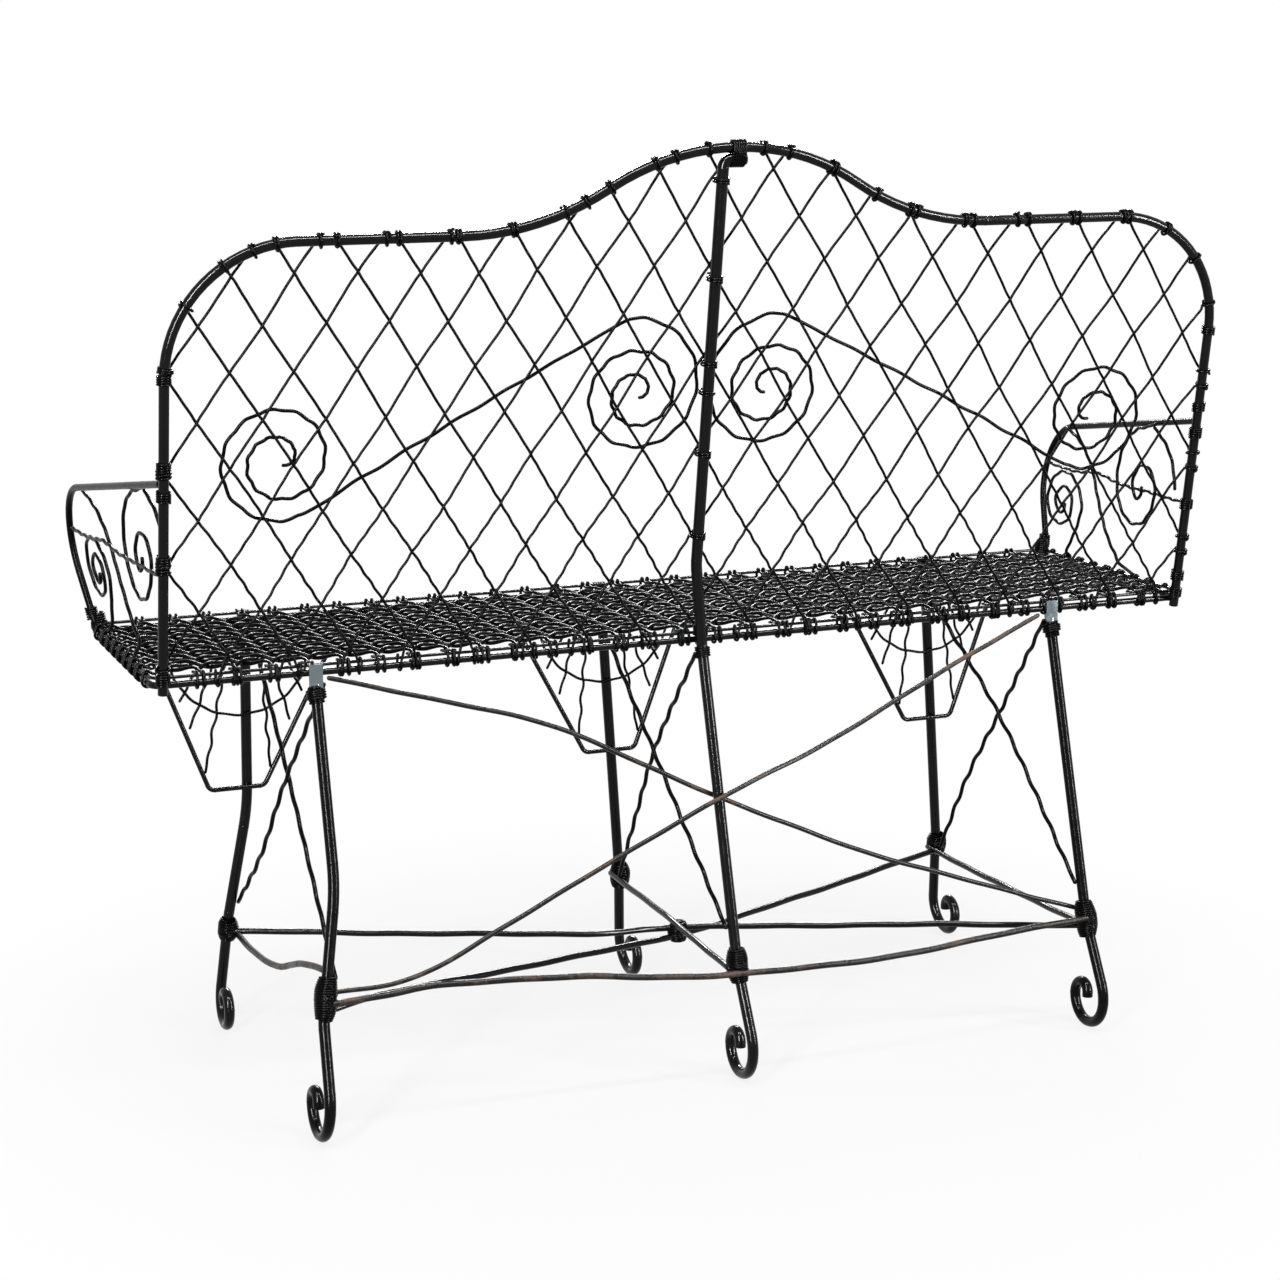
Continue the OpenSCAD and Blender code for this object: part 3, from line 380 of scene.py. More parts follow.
class Leg(Enum):
    """The six legs: their end of the bench, and whether they are at the rear."""

    REAR_LEFT = (1, True)
    REAR_CENTRE = (0, True)
    REAR_RIGHT = (-1, True)
    FRONT_LEFT = (1, False)
    FRONT_CENTRE = (0, False)
    FRONT_RIGHT = (-1, False)

    @property
    def spread(self) -> float:
        """Sideways lean of the leg from the rail to the floor."""
        end, rear = self.value
        return MID_SPREAD[rear] if end == 0 else end * END_SPREAD[rear]

    def at(self, z: float) -> Array:
        """Centre of the leg at a height.

        Args:
            z: Height.

        Returns:
            A point on the straight line from the rail to the knee, or from the knee downwards.
        """
        end, rear = self.value
        way = 1.0 if rear else -1.0
        knee_y = KNEE_Y[rear]
        top_y = BACK_Y if rear and end == 0 else way * RAIL_Y
        x = end * LEG_X + self.spread * (SEAT_H - z) / SEAT_H
        if end == 1:
            x -= BOW * max(0.0, min((LEG_TOP_Z - z) / (LEG_TOP_Z - BOW_Z),
                                    (z - KNEE_H) / (BOW_Z - KNEE_H)))
        if end == 0 and rear and z > KNEE_H:
            x += POST_JOG * (z - KNEE_H) / (SEAT_H - KNEE_H)
        if z > KNEE_H:
            y = top_y + (knee_y - top_y) * (SEAT_H - z) / (SEAT_H - KNEE_H)
        else:
            y = knee_y + way * (KNEE_H - z) * math.tan(FOOT_RAKE[rear])
        return np.array([x, y, z])

    def way_up(self, z: float) -> Array:
        """Unit direction of the leg, upwards: the step to a point one millimetre away."""
        step = 1.0 if z >= KNEE_H else -1.0
        return unit(self.at(z + step) - self.at(z)) * step

    def beside(self, z: float, along: Array, r: float, side: int) -> Array:
        """Centre of a rod of radius r against the leg: a step square to both, to side 1 or -1."""
        return self.at(z) + side * (LEG_R + r + 0.3) * unit(np.cross(along, self.way_up(z)))


@dataclass
class SeatMesh:
    """Crimped wires woven over and under each other, doubled up and wound on at the rails."""

    half_x: float = 17.25
    half_y: float = 14.5
    cells_x: int = 31
    cells_y: int = 8
    wire_r: float = 1.5
    weave_r: float = 2.05
    lift: float = 2.15
    steps: int = 8
    strand: float = 2.9
    pitch: float = 0.9
    turns: float = 0.86
    tab_half: float = 7.5
    tab_turns: float = 0.14
    spread: float = 0.07
    first_angle: float = math.radians(120.0)
    tail_drop: float = 1.2
    slack: float = 0.7
    rim_gap: float = 0.15
    rail_gap: float = 4.2
    sway: tuple[float, float] = (0.5, 0.25)
    draws: np.random.Generator = field(default_factory=lambda: np.random.default_rng(11))

    def rim(self, phi: Array) -> tuple[Array, Array]:
        """The path of a wire round the rail and the thin rod above it.

        The circle round the rail grows into the circle round the thin rod as the angle rises.

        Args:
            phi: Angle from straight outwards, in radians.

        Returns:
            Distance outwards from the rail's centre line, and height.
        """
        low = RAIL_R + self.wire_r + self.rim_gap
        high = EDGE_R + self.wire_r + self.rim_gap
        t = np.clip(np.sin(phi), 0.0, 1.0)
        s = t * t * (3 - 2 * t)
        r = low + (high - low) * s
        return r * np.cos(phi), SEAT_H + (EDGE_Z - SEAT_H) * s + r * np.sin(phi)

    def end(self, at: float, out: int, drift: int, lengthwise: bool,
            level: float) -> tuple[Array, Array]:
        """The end of one wire, from the last crossing to its knob under the rail.

        Args:
            at: Place of the crossing along the rail.
            out: Side of the bench, 1 or -1.
            drift: Side to which the wire leaves the crossing, 1 or -1.
            lengthwise: True at the long sides.
            level: Height of the wire at the crossing, over the weave's middle.

        Returns:
            The points and their reference axes.
        """
        rail = RAIL_Y if lengthwise else RAIL_X
        last = (self.cells_y * self.half_y) if lengthwise else (self.cells_x * self.half_x)
        blocked = lengthwise and abs(abs(at) - LEG_X) < self.tab_half
        turns = (self.tab_turns if blocked
                 else self.turns + self.spread * self.draws.uniform(-1, 1))
        w = np.linspace(0.0, turns, 3 if blocked else 24)
        reach, height = self.rim(self.first_angle - TURN * w)
        if not blocked:
            height[-1] -= self.tail_drop
        shift = at + drift * (self.strand + self.pitch * w)
        bow = self.draws.uniform(-self.slack, self.slack)
        lead_out = last + (rail - self.rail_gap - last) * np.array([0.15, 0.35, 0.6, 0.85, 1.0])
        lead_at = at + drift * (self.strand + np.array([-1.0, 0.0, bow, 0.1, 0.0]))
        lead_z = EDGE_Z + np.array([level * 0.7, level * 0.2, 0.0, 0.1, 0.9])
        along = np.concatenate([lead_at, shift])
        away = out * np.concatenate([lead_out, rail + reach])
        z = np.concatenate([lead_z, height])
        mix = np.clip((np.arange(len(z)) - 1.0) / 4.0, 0.0, 1.0)[:, None]
        axis = ACROSS if lengthwise else REARWARD
        ref = unit(UPWARD * (1 - mix) + axis * mix)
        points = np.stack([along, away, z] if lengthwise else [away, along, z], axis=1)
        return points, ref

    def wire(self, slant: int, c: int) -> tuple[Array, Array, Array]:
        """One wire of the weave.

        It steps one half diamond along X and one along Y at each crossing, and rises and
        falls as the cosine of half a turn a crossing, so that it goes over and under. It
        sways by a wave of two crossings and a slower one.

        Args:
            slant: 1 or -1, the family of wires.
            c: Place of the wire in its family, an odd number.

        Returns:
            The points, the radius at each, and their reference axes.
        """
        i0, i1 = max(-self.cells_x, c - self.cells_y), min(self.cells_x, c + self.cells_y)
        i = np.linspace(i0, i1, (i1 - i0) * self.steps + 1)
        level = slant * self.lift * np.cos(np.pi * i)
        sway = (self.sway[0] * np.sin(np.pi * i + 0.6 * slant)
                + self.sway[1] * np.sin(1.7 * i + 0.9 * c))
        body = np.stack([i * self.half_x + sway, slant * (i - c) * self.half_y + sway,
                         EDGE_Z + level], axis=1)
        first = self.end(*(
            (i0 * self.half_x, -slant, -1, True) if c - self.cells_y > -self.cells_x
            else (slant * (i0 - c) * self.half_y, -1, -slant, False)), level[0])
        last = self.end(*(
            (i1 * self.half_x, slant, 1, True) if c + self.cells_y < self.cells_x
            else (slant * (i1 - c) * self.half_y, 1, slant, False)), level[-1])
        path = np.concatenate([first[0][::-1], body, last[0]])
        ref = np.concatenate([first[1][::-1], np.tile(UPWARD, (len(body), 1)), last[1]])
        inner = np.clip(np.minimum(i - i0, i1 - i) / 0.7, 0.0, 1.0)
        radius = np.concatenate([np.full(len(first[0]), self.wire_r),
                                 self.wire_r + (self.weave_r - self.wire_r) * inner,
                                 np.full(len(last[0]), self.wire_r)])
        return path, radius, ref

    def build(self, finishes: Finishes) -> None:
        """Makes the two families of wires.

        Args:
            finishes: Material for each slot.
        """
        last = self.cells_x + self.cells_y - 2
        stands_for = {
            1: ("seat_weave_left", "seat_strands_long", "seat_wraps_rear"),
            -1: ("seat_weave_right", "seat_strands_end", "seat_wraps_front", "seat_wraps_ends")}
        for slant, nodes in stands_for.items():
            sheaf = Sheaf("seat_mesh_left" if slant > 0 else "seat_mesh_right", Slot.WIRE, 7)
            for c in range(-last, last + 1, 2):
                sheaf.add(*self.wire(slant, c))
            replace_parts(sheaf.build(finishes), *nodes)


@dataclass
class BackLattice:
    """Two families of slanting wires, woven, and wound on round the hoop, the post and the rail.

    TIES gives the height and the number of turns of each tie on the centre post.
    """

    pitch_x: float = 58.0
    pitch_h: float = 88.6
    cross_x: float = 11.0
    cross_h: float = 198.7
    wire_r: float = 1.38
    middle: float = -8.55
    lift: float = 1.38
    foot_h: float = 12.0
    lead: float = 22.0
    foot_angle: float = math.radians(25.0)
    gap: float = 0.3
    step: float = 3.2
    fewest: int = 8
    tie_r: float = 1.1
    tie_pitch: float = 2.5
    tie_radii: tuple[float, float] = (9.4, 6.9)
    draws: np.random.Generator = field(default_factory=lambda: np.random.default_rng(23))

    TIES = ((457, 2.3), (364, 2.6), (282, 2.4), (254, 1.4), (193, 2.6), (110, 2.3))

    def sag(self, x: Array, h: Array) -> tuple[Array, Array]:
        """Places of the hand-laid wires, given their places in an even lattice.

        Args:
            x: Distance to the side.
            h: Height up the slope.

        Returns:
            Both moved by a few millimetres that change slowly over the back.
        """
        dx = np.interp(x, [-540, -511, -47, 11, 300, 470, 540], [0, 0.6, 5.4, 6, -1, -2.5, 0])
        dh = np.interp(x, [250, 400, 500], [0.0, 4.5, 5.0]) * np.clip(h / 250.0, 0.0, 1.0)
        dx = dx * np.clip(h / 60.0, 0.0, 1.0)
        return (x + dx + 0.9 * np.sin(0.031 * x + 0.021 * h),
                h + dh + 1.1 * np.sin(0.027 * x - 0.025 * h + 1.0))

    def wrapped(self, x: float, h: float, drift: float) -> tuple[Array, Array]:
        """Turns of a wire's end round the hoop.

        Args:
            x: Place of the end.
            h: Height of the end.
            drift: Side to which the turns run, 1 or -1.

        Returns:
            The points and their reference axis.
        """
        way = 1.0 if drift >= 0 else -1.0
        if abs(x) > HOOP_HALF - SHOULDER_R * 0.05 and h < SHOULDER_H - SHOULDER_R:
            axis = way * unit(on_back(0.0, 1.0) - on_back(0.0, 0.0))
            centre = on_back(np.sign(x) * post_half(h), h)
            outward = ACROSS * np.sign(x)
        else:
            near = np.array([x - 1.0, x + 1.0])
            ends = on_back(near, hoop_height(near))
            axis = way * unit(ends[1] - ends[0])
            centre = on_back(x, hoop_height(np.array(x)))
            outward = np.cross(axis, OFF_SLOPE)
            if outward[2] <= 0 and not (abs(x) > 500 and outward[0] * x > 0):
                outward = -outward
        turns = 1.32 + 0.22 * self.draws.uniform(-1, 1)
        a = np.linspace(-0.04, turns, 22)
        rho = HOOP_R + self.wire_r + 0.1 + np.where(a > turns - 0.05, 0.6, 0.0)
        pitch = 2 * self.wire_r + 0.2
        w = (TURN * a)[:, None]
        points = (centre + rho[:, None] * (np.sin(w) * outward - np.cos(w) * OFF_SLOPE)
                  + axis * (pitch * a)[:, None])
        return points, np.tile(axis, (len(points), 1))

    def rooted(self, x: float, lean: int, seat: SeatMesh) -> tuple[Array, Array]:
        """Turns of a wire's foot round the rear rail and the thin rod.

        Args:
            x: Place of the foot.
            lean: Slant of the wire, 1 or -1.
            seat: The seat, for the path round its rails.

        Returns:
            The points, from the back's plane on, and their reference axis.
        """
        turns = 1.05 + 0.2 * self.draws.uniform(-1, 1)
        w = np.linspace(0.0, turns, 20)
        reach, height = seat.rim(self.foot_angle - TURN * w)
        points = np.stack([x - lean * (2.0 + 2.9 * w), RAIL_Y + reach + 0.2, height], axis=1)
        return points, np.tile(ACROSS, (len(points), 1))

    def run(self, lean: int, k: int) -> tuple[Array, Array, Array, bool] | None:
        """Finds the part of one wire that lies inside the hoop.

        Args:
            lean: 1 or -1, the slant.
            k: Place of the wire in its family.

        Returns:
            Distances to the side, heights, heights in the even lattice and whether it starts
            at a post, or nothing where no length worth lacing is inside.
        """
        slope = lean * self.pitch_x / self.pitch_h
        h0 = np.arange(self.foot_h, CREST_H + 2.0, self.step)
        x, h = self.sag(self.cross_x + k * self.pitch_x + slope * (h0 - self.cross_h), h0)
        room = np.where(np.abs(x - KNOB_X) < KNOB_ROOM, KNOB_DROP, 0.0)
        inside = (h < hoop_height(x) - room) & (np.abs(x) < post_half(h))
        first = int(np.argmax(inside))
        last = len(h) if inside[first:].all() else first + int(np.argmin(inside[first:]))
        if last - first < self.fewest:
            return None
        return x[first:last], h[first:last], h0[first:last], first > 0

    def wires(self, lean: int, seat: SeatMesh) -> list[tuple[Array, Array]]:
        """All wires of one slant, each cut where it meets the hoop.

        Along a wire the height grows evenly, the distance in front of the hoop swings once
        over and once under for each diamond, and the wire sways a little from side to side.
        Close to its ends the wire draws up against the hoop.

        Args:
            lean: 1 or -1, the slant.
            seat: The seat.

        Returns:
            Points and reference axes for each wire.
        """
        found = []
        against = -HOOP_R - self.wire_r - self.gap
        for k in range(-20, 21):
            run = self.run(lean, k)
            if run is None:
                continue
            x, h, h0, from_post = run
            q = (h0 - self.cross_h) * 2 / self.pitch_h
            kink = np.exp(-((q - np.round(q)) * 7.0) ** 2)
            ripple = np.clip(1.3 - h0 / 170.0, 0.12, 1.0) * np.sin(h0 / 2.5 + 1.3 * k)
            x = x + lean * (0.5 * kink * np.sin(TURN * q * 2.0 + k) + 0.65 * ripple)
            to_top, to_foot = (np.hypot(x - x[end], h - h[end]) for end in (-1, 0))
            near_top, near_foot = (np.clip(1 - s / self.lead, 0.0, 1.0) for s in (to_top, to_foot))
            off = self.middle + lean * self.lift * np.cos(np.pi * q)
            off = off + (against - off) * near_top
            off = off + (against - off) * near_foot * (1.0 if from_post else 0.4)
            keep = (to_top > 3.0) & (to_foot > (3.0 if from_post else 2.0))
            body = on_back(x[keep], h[keep], off[keep])
            under_crest = abs(x[-1] - KNOB_X) < KNOB_ROOM
            top = self.wrapped(x[-1], h[-1] + (KNOB_DROP if under_crest else 0.0), float(lean))
            foot = (self.wrapped(x[0], h[0], -float(lean)) if from_post
                    else self.rooted(x[0], lean, seat))
            high, low = (near[keep][:, None] * 0.9 for near in (near_top, near_foot))
            ref = unit(OFF_SLOPE * (1 - high - low) + top[1][0] * high + foot[1][0] * low)
            if under_crest:
                top = (top[0][:0], top[1][:0])
                ref = np.tile(OFF_SLOPE, (len(body), 1))
            found.append((np.concatenate([foot[0][::-1], body, top[0]]),
                          np.concatenate([foot[1][::-1], ref, top[1]])))
        return found

    def build(self, finishes: Finishes, seat: SeatMesh) -> None:
        """Makes the two families and the ties on the centre post.

        Args:
            finishes: Material for each slot.
            seat: The seat.
        """
        for lean, name, nodes in (
                (1, "back_lattice_wires_left", ("back_lattice_left", "lattice_rings_hoop")),
                (-1, "back_lattice_wires_right", ("back_lattice_right", "lattice_rings_rail"))):
            sheaf = Sheaf(name, Slot.WIRE)
            for path, ref in self.wires(lean, seat):
                sheaf.add(path, self.wire_r, ref)
            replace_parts(sheaf.build(finishes), *nodes)
        ties = Sheaf("post_ties", Slot.LASHING)
        for h, turns in self.TIES:
            path = coil(on_back(POST_X, h, -2.5), UP_SLOPE, OFF_SLOPE, self.tie_radii,
                        self.tie_pitch, turns, first=self.draws.uniform())
            ties.add(path, self.tie_r, UP_SLOPE)
        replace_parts(ties.build(finishes), "lattice_rings_post")


@dataclass
class BackScroll:
    """One long wire of the back: a spiral, a straight tail and a second, wider spiral.

    OUTER and INNER give the radius of the two spirals at angles in degrees.
    """

    side: int
    outer: tuple[float, float]
    inner: tuple[float, float]
    off: float = -13.4
    wire_r: float = 1.7
    step: float = 8.0

    OUTER = ((244, 57), (270, 58), (360, 54), (450, 48), (540, 42), (630, 37), (720, 30),
             (810, 22), (900, 13), (960, 5))
    INNER = ((78, 73), (90, 73), (180, 61), (270, 53), (360, 47), (450, 41), (540, 38),
             (630, 32), (720, 24), (810, 18), (880, 13), (950, 6))

    def spiral(self, centre: tuple[float, float], table: tuple[tuple[float, float], ...]) -> Array:
        """A spiral whose radius runs through given values, with a fine ripple.

        Args:
            centre: Its centre on the back.
            table: Angles, in degrees, and the radius at each.

        Returns:
            Points at even angles, as columns x and height.
        """
        angles, radii = np.array(table, float).T
        a = np.arange(angles[0], angles[-1] + 1.0, self.step)
        r = np.interp(a, angles, radii)
        r = r + 0.9 * np.sin(np.radians(a * 12.5)) * np.clip(r / 30.0, 0.3, 1.0)
        return np.stack([centre[0] + r * np.cos(np.radians(a)),
                         centre[1] + r * np.sin(np.radians(a))], axis=1)

    def path(self) -> Array:
        """The whole wire, from the middle of the outer spiral to the hook of the inner one.

        Returns:
            Points in millimetres.
        """
        start = self.spiral(self.outer, self.OUTER)[::-1]
        end = self.spiral(self.inner, self.INNER)
        a, b = start[-1], end[0]
        t = np.linspace(0.0, 1.0, 14)[1:-1, None]
        lift = np.array([0.0, 1.0]) * (2.5 * np.sin(np.pi * t) + 1.7 * np.sin(TURN * 6.4 * t + 0.8))
        flat = np.concatenate([start, a + (b - a) * t + lift, end])
        return curved(on_back(self.side * flat[:, 0], flat[:, 1], self.off), 3.0)

    def build(self, finishes: Finishes) -> None:
        """Makes the scroll wire.

        Args:
            finishes: Material for each slot.
        """
        word = "left" if self.side > 0 else "right"
        sheaf = Sheaf(f"back_scroll_wire_{word}", Slot.WIRE, 10)
        sheaf.add(self.path(), self.wire_r, OFF_SLOPE)
        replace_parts(sheaf.build(finishes), f"back_scroll_{word}")


@dataclass
class ArmWires:
    """The scrolls, the brace and the strand inside one arm.

    The tables give distances to the rear and heights along each wire.
    """

    side: int
    wire_r: float = 1.8
    lap: float = 5.6
    crimp: float = 0.7
    crimp_wave: float = 24.0
    foot_z: float = 456.0

    FRONT = ((-81.2, 450.6), (-79, 456), (-66, 477), (-56, 501), (-58, 516), (-69, 529),
             (-89, 540), (-112, 541), (-131, 532), (-140, 514), (-135, 497), (-119, 486),
             (-98, 484), (-84, 491), (-79, 505), (-84, 518), (-97, 525), (-112, 522),
             (-120, 512), (-116, 501), (-105, 496), (-97, 499), (-96, 506))
    REAR = ((106, 620), (97, 618), (87, 615), (67, 611), (49, 603), (33, 589), (24, 571),
            (22, 549), (29, 529), (43, 515), (62, 508), (85, 512), (102, 527), (110, 546),
            (105, 563), (89, 573), (71, 570), (60, 557), (60, 544), (69, 536), (79, 541),
            (80, 549))
    SECOND = ((103, 616), (114, 611), (129, 603), (141, 593), (149, 580), (153, 566), (154, 558))
    BRACE = ((-116, 590), (-98, 586), (-82, 581), (-66, 574), (-51, 563), (-38, 551),
             (-28, 537), (-19, 523), (-9, 509), (2, 495), (14, 482), (28, 471), (41, 461),
             (53.65, 450.8))
    STRAND = ((-162, 545), (-143, 544), (-123, 543.5), (-85, 544), (-60, 547), (-36, 549),
              (-10, 547), (11, 545), (53, 544), (84, 545), (120, 544.5), (155, 545),
              (162.6, 545))

    def curve(self, table: tuple[tuple[float, float], ...], lap: float) -> Array:
        """A wire through a table of points on the arm.

        Args:
            table: Distances to the rear and heights.
            lap: Distance inside the arm's plane.

        Returns:
            Points of the crimped wire, which stands on the seat's edge at its foot.
        """
        yz = np.array(table, float)
        yz[:, 1] = np.maximum(yz[:, 1], EDGE_Z + EDGE_R + 2.0)
        points = on_arm(self.side, yz[:, 0], yz[:, 1], lap)
        low = yz[:, 1] < self.foot_z
        points[low, 0] = self.side * (RAIL_X - 1.0)
        return crimped(curved(points, 2.5), ACROSS, self.crimp, self.crimp_wave)

    def build(self, finishes: Finishes) -> None:
        """Makes the four wires of the arm.

        Args:
            finishes: Material for each slot.
        """
        word = "left" if self.side > 0 else "right"
        for name, tables, lap, node in (
                ("front_scroll", (self.FRONT,), self.lap, "arm_front_scroll"),
                ("rear_scroll", (self.REAR, self.SECOND), self.lap, "arm_rear_scroll"),
                ("c_brace", (self.BRACE,), self.lap, "arm_brace"),
                ("long_strand", (self.STRAND,), 0.0, "arm_strand")):
            sheaf = Sheaf(f"arm_{name}_{word}", Slot.WIRE, 10)
            for table in tables:
                sheaf.add(self.curve(table, lap), self.wire_r, ACROSS)
            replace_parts(sheaf.build(finishes), f"{node}_{word}")


@dataclass
class LowRods:
    """The rods between the legs: two braces, the stretcher and five ties, bent by hand.

    FOOT_Z, HIGH and LOW give the height of each brace's foot and its bends above and below the
    centre leg, by the side of its top.
    """

    tie_r: float = 3.3
    brace_r: float = 2.45
    brace_top_x: float = 378.0
    brace_cross_z: float = 286.0

    FOOT_Z = {1: 128.0, -1: 142.0}
    HIGH = {1: ((291, 146, 409), (187, 151, 378), (122, 154, 351)),
            -1: ((-293, 147, 398), (-205, 153, 358), (-122, 162, 324))}
    LOW = {1: ((-110, 166, 236), (-191, 173, 201), (-310, 183, 160)),
           -1: ((107, 179, 236), (212, 184, 188), (316, 189, 146))}

    def pair(self, a: Leg, b: Leg, heights: tuple[float, float],
             sides: tuple[int, int]) -> tuple[Array, Array]:
        """Ends of a rod that lies against two legs.

        Args:
            a: First leg.
            b: Second leg.
            heights: Height of the rod at each leg.
            sides: Side of each leg that it lies on.

        Returns:
            The two points.
        """
        along = b.at(heights[1]) - a.at(heights[0])
        return (a.beside(heights[0], along, TIE_R, sides[0]),
                b.beside(heights[1], along, TIE_R, sides[1]))

    def brace(self, side: int) -> list[Array]:
        """Points of the brace from under the rear rail to the other rear knee.

        Args:
            side: Side of its top, 1 or -1.

        Returns:
            Points in millimetres.
        """
        foot_leg = Leg.REAR_RIGHT if side > 0 else Leg.REAR_LEFT
        foot_z = self.FOOT_Z[side]
        top = np.array([side * self.brace_top_x, RAIL_Y + 0.5, LEG_TOP_Z - self.brace_r - 0.6])
        along = foot_leg.at(foot_z) - top
        cross = Leg.REAR_CENTRE.beside(self.brace_cross_z, along, self.brace_r, -1)
        foot = foot_leg.beside(foot_z, along, self.brace_r, -side)
        return [top, *map(np.array, self.HIGH[side]), cross, *map(np.array, self.LOW[side]), foot]

    def rods(self) -> list[tuple[str, Slot, float, list[Array], str]]:
        """Lists the rods.

        Returns:
            Name, finish, radius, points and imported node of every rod.
        """
        a, b = self.pair(Leg.FRONT_LEFT, Leg.REAR_RIGHT, (107.0, 113.0), (1, -1))
        knot = np.array([*KNOT, TIE_Z])
        high = [a, a * 0.6 + b * 0.4 - UPWARD * 7.0 + [4, -6, 0], knot,
                knot * 0.5 + b * 0.5 + UPWARD * 2.0, b]
        c, d = self.pair(Leg.FRONT_RIGHT, Leg.REAR_LEFT, (103.0, 123.0), (-1, 1))
        under = np.array([*KNOT, TIE_Z - TIE_STEP])
        low = [c, c * 0.5 + under * 0.5 - UPWARD * 1.5, under,
               under * 0.5 + d * 0.5 + UPWARD * 3.0, under * 0.15 + d * 0.85 + UPWARD * 6.0, d]
        e, f = self.pair(Leg.FRONT_CENTRE, Leg.REAR_CENTRE, (TIE_Z + TIE_STEP,) * 2, (1, 1))
        g, h = self.pair(Leg.FRONT_RIGHT, Leg.REAR_RIGHT, (103.0, 118.0), (1, 1))
        left = [Leg.FRONT_LEFT.beside(101.0, REARWARD, TIE_R, -1),
                *np.array([[413.0, -65, 107.5], [411.0, 24, 118.5], [409.0, 75, 134.5],
                           [407.5, 120, 149.5], [405.5, 155, 158.0]]),
                Leg.REAR_LEFT.at(163.0) - [-1.5, LEG_R + 1.5, 0.0]]
        k, m, n = (leg.beside(z, -ACROSS, TIE_R, 1) for leg, z in (
            (Leg.REAR_LEFT, 134.0), (Leg.REAR_CENTRE, 110.5), (Leg.REAR_RIGHT, 121.0)))
        back = [k, *np.array([[350, k[1], 138.0], [288, k[1] + 1, 141.5],
                              [170, m[1] - 1, 134.0], [73, m[1], 121.5]]), m,
                *np.array([[-150, m[1], 110.0], [-300, n[1], 117.0]]), n]
        tie = self.tie_r
        return [("brace_high_left", Slot.RUSTED, self.brace_r, self.brace(1), "rear_brace_left"),
                ("brace_high_right", Slot.RUSTED, self.brace_r, self.brace(-1),
                 "rear_brace_right"),
                ("stretcher_rod", Slot.RUSTED, tie, back, "rear_stretcher"),
                ("long_rod_front_left", Slot.ROD, tie, high, "long_tie_front_left"),
                ("long_rod_rear_left", Slot.ROD, tie, low, "long_tie_rear_left"),
                ("cross_rod_centre", Slot.ROD, tie, [e, (e + f) / 2 + UPWARD * 1.5, f],
                 "cross_tie_centre"),
                ("cross_rod_right", Slot.ROD, tie, [g, (g + h) / 2 - UPWARD * 2.0, h],
                 "cross_tie_right"),
                ("cross_rod_left", Slot.RUSTED, tie, left, "cross_tie_left")]

    def build(self, finishes: Finishes) -> None:
        """Makes every rod, with the small uneven bends of cold-bent iron.

        Args:
            finishes: Material for each slot.
        """
        for name, slot, radius, points, node in self.rods():
            path = curved(np.array(points, float), 6.0)
            way = lengths(path)
            fade = np.clip(np.minimum(way, way[-1] - way) / 60.0, 0.0, 1.0)
            drift = 0.5 * np.sin(way / 37.0 + len(name)) + 0.3 * np.sin(way / 13.0)
            sheaf = Sheaf(name, slot, 12)
            sheaf.add(path + UPWARD * (fade * drift)[:, None], radius, UPWARD)
            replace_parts(sheaf.build(finishes), node)


@dataclass
class LegStays:
    """Two wavy wires that cross between a front leg and a rear leg."""

    word: str
    rear: Leg
    front: Leg
    side: int
    shift: float = 0.0
    on_tie: float | None = None
    wire_r: float = 2.2
    top_z: tuple[float, float] = (428.0, 424.0)
    low_z: tuple[float, float] = (158.0, KNEE_H + 18.0)
    apart: float = 5.1
    crimp: float = 1.5
    crimp_wave: float = 41.0

    def build(self, finishes: Finishes) -> None:
        """Makes the pair of stays.

        Args:
            finishes: Material for each slot.
        """
        (top_rear, low_rear), (top_front, low_front) = (
            [leg.beside(z, REARWARD, self.wire_r, self.side) for z in (top, low)]
            for leg, top, low in zip((self.rear, self.front), self.top_z, self.low_z))
        low = low_front
        if self.on_tie is not None:
            tie = self.front.beside(self.on_tie, REARWARD, TIE_R, 1)
            low = np.array([tie[0], -128.0, self.on_tie + TIE_R + self.wire_r + 0.3])
        xa = top_rear[0] + (low_front[0] - top_rear[0]) * 0.45 + self.shift
        sheaf = Sheaf(f"stay_wires_{self.word}", Slot.WIRE, 10)
        for points, phase in (
                ([top_rear, [xa, 18, 304], [xa + (low[0] - xa) * 0.6, -60, 212], low], 0.1),
                ([top_front, [xa + self.side * self.apart, 18, 304], low_rear], 0.45)):
            path = crimped(curved(np.array(points), 4.0), ACROSS, self.crimp, self.crimp_wave,
                           phase)
            sheaf.add(path, self.wire_r, ACROSS)
        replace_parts(sheaf.build(finishes), f"leg_stays_{self.word}")


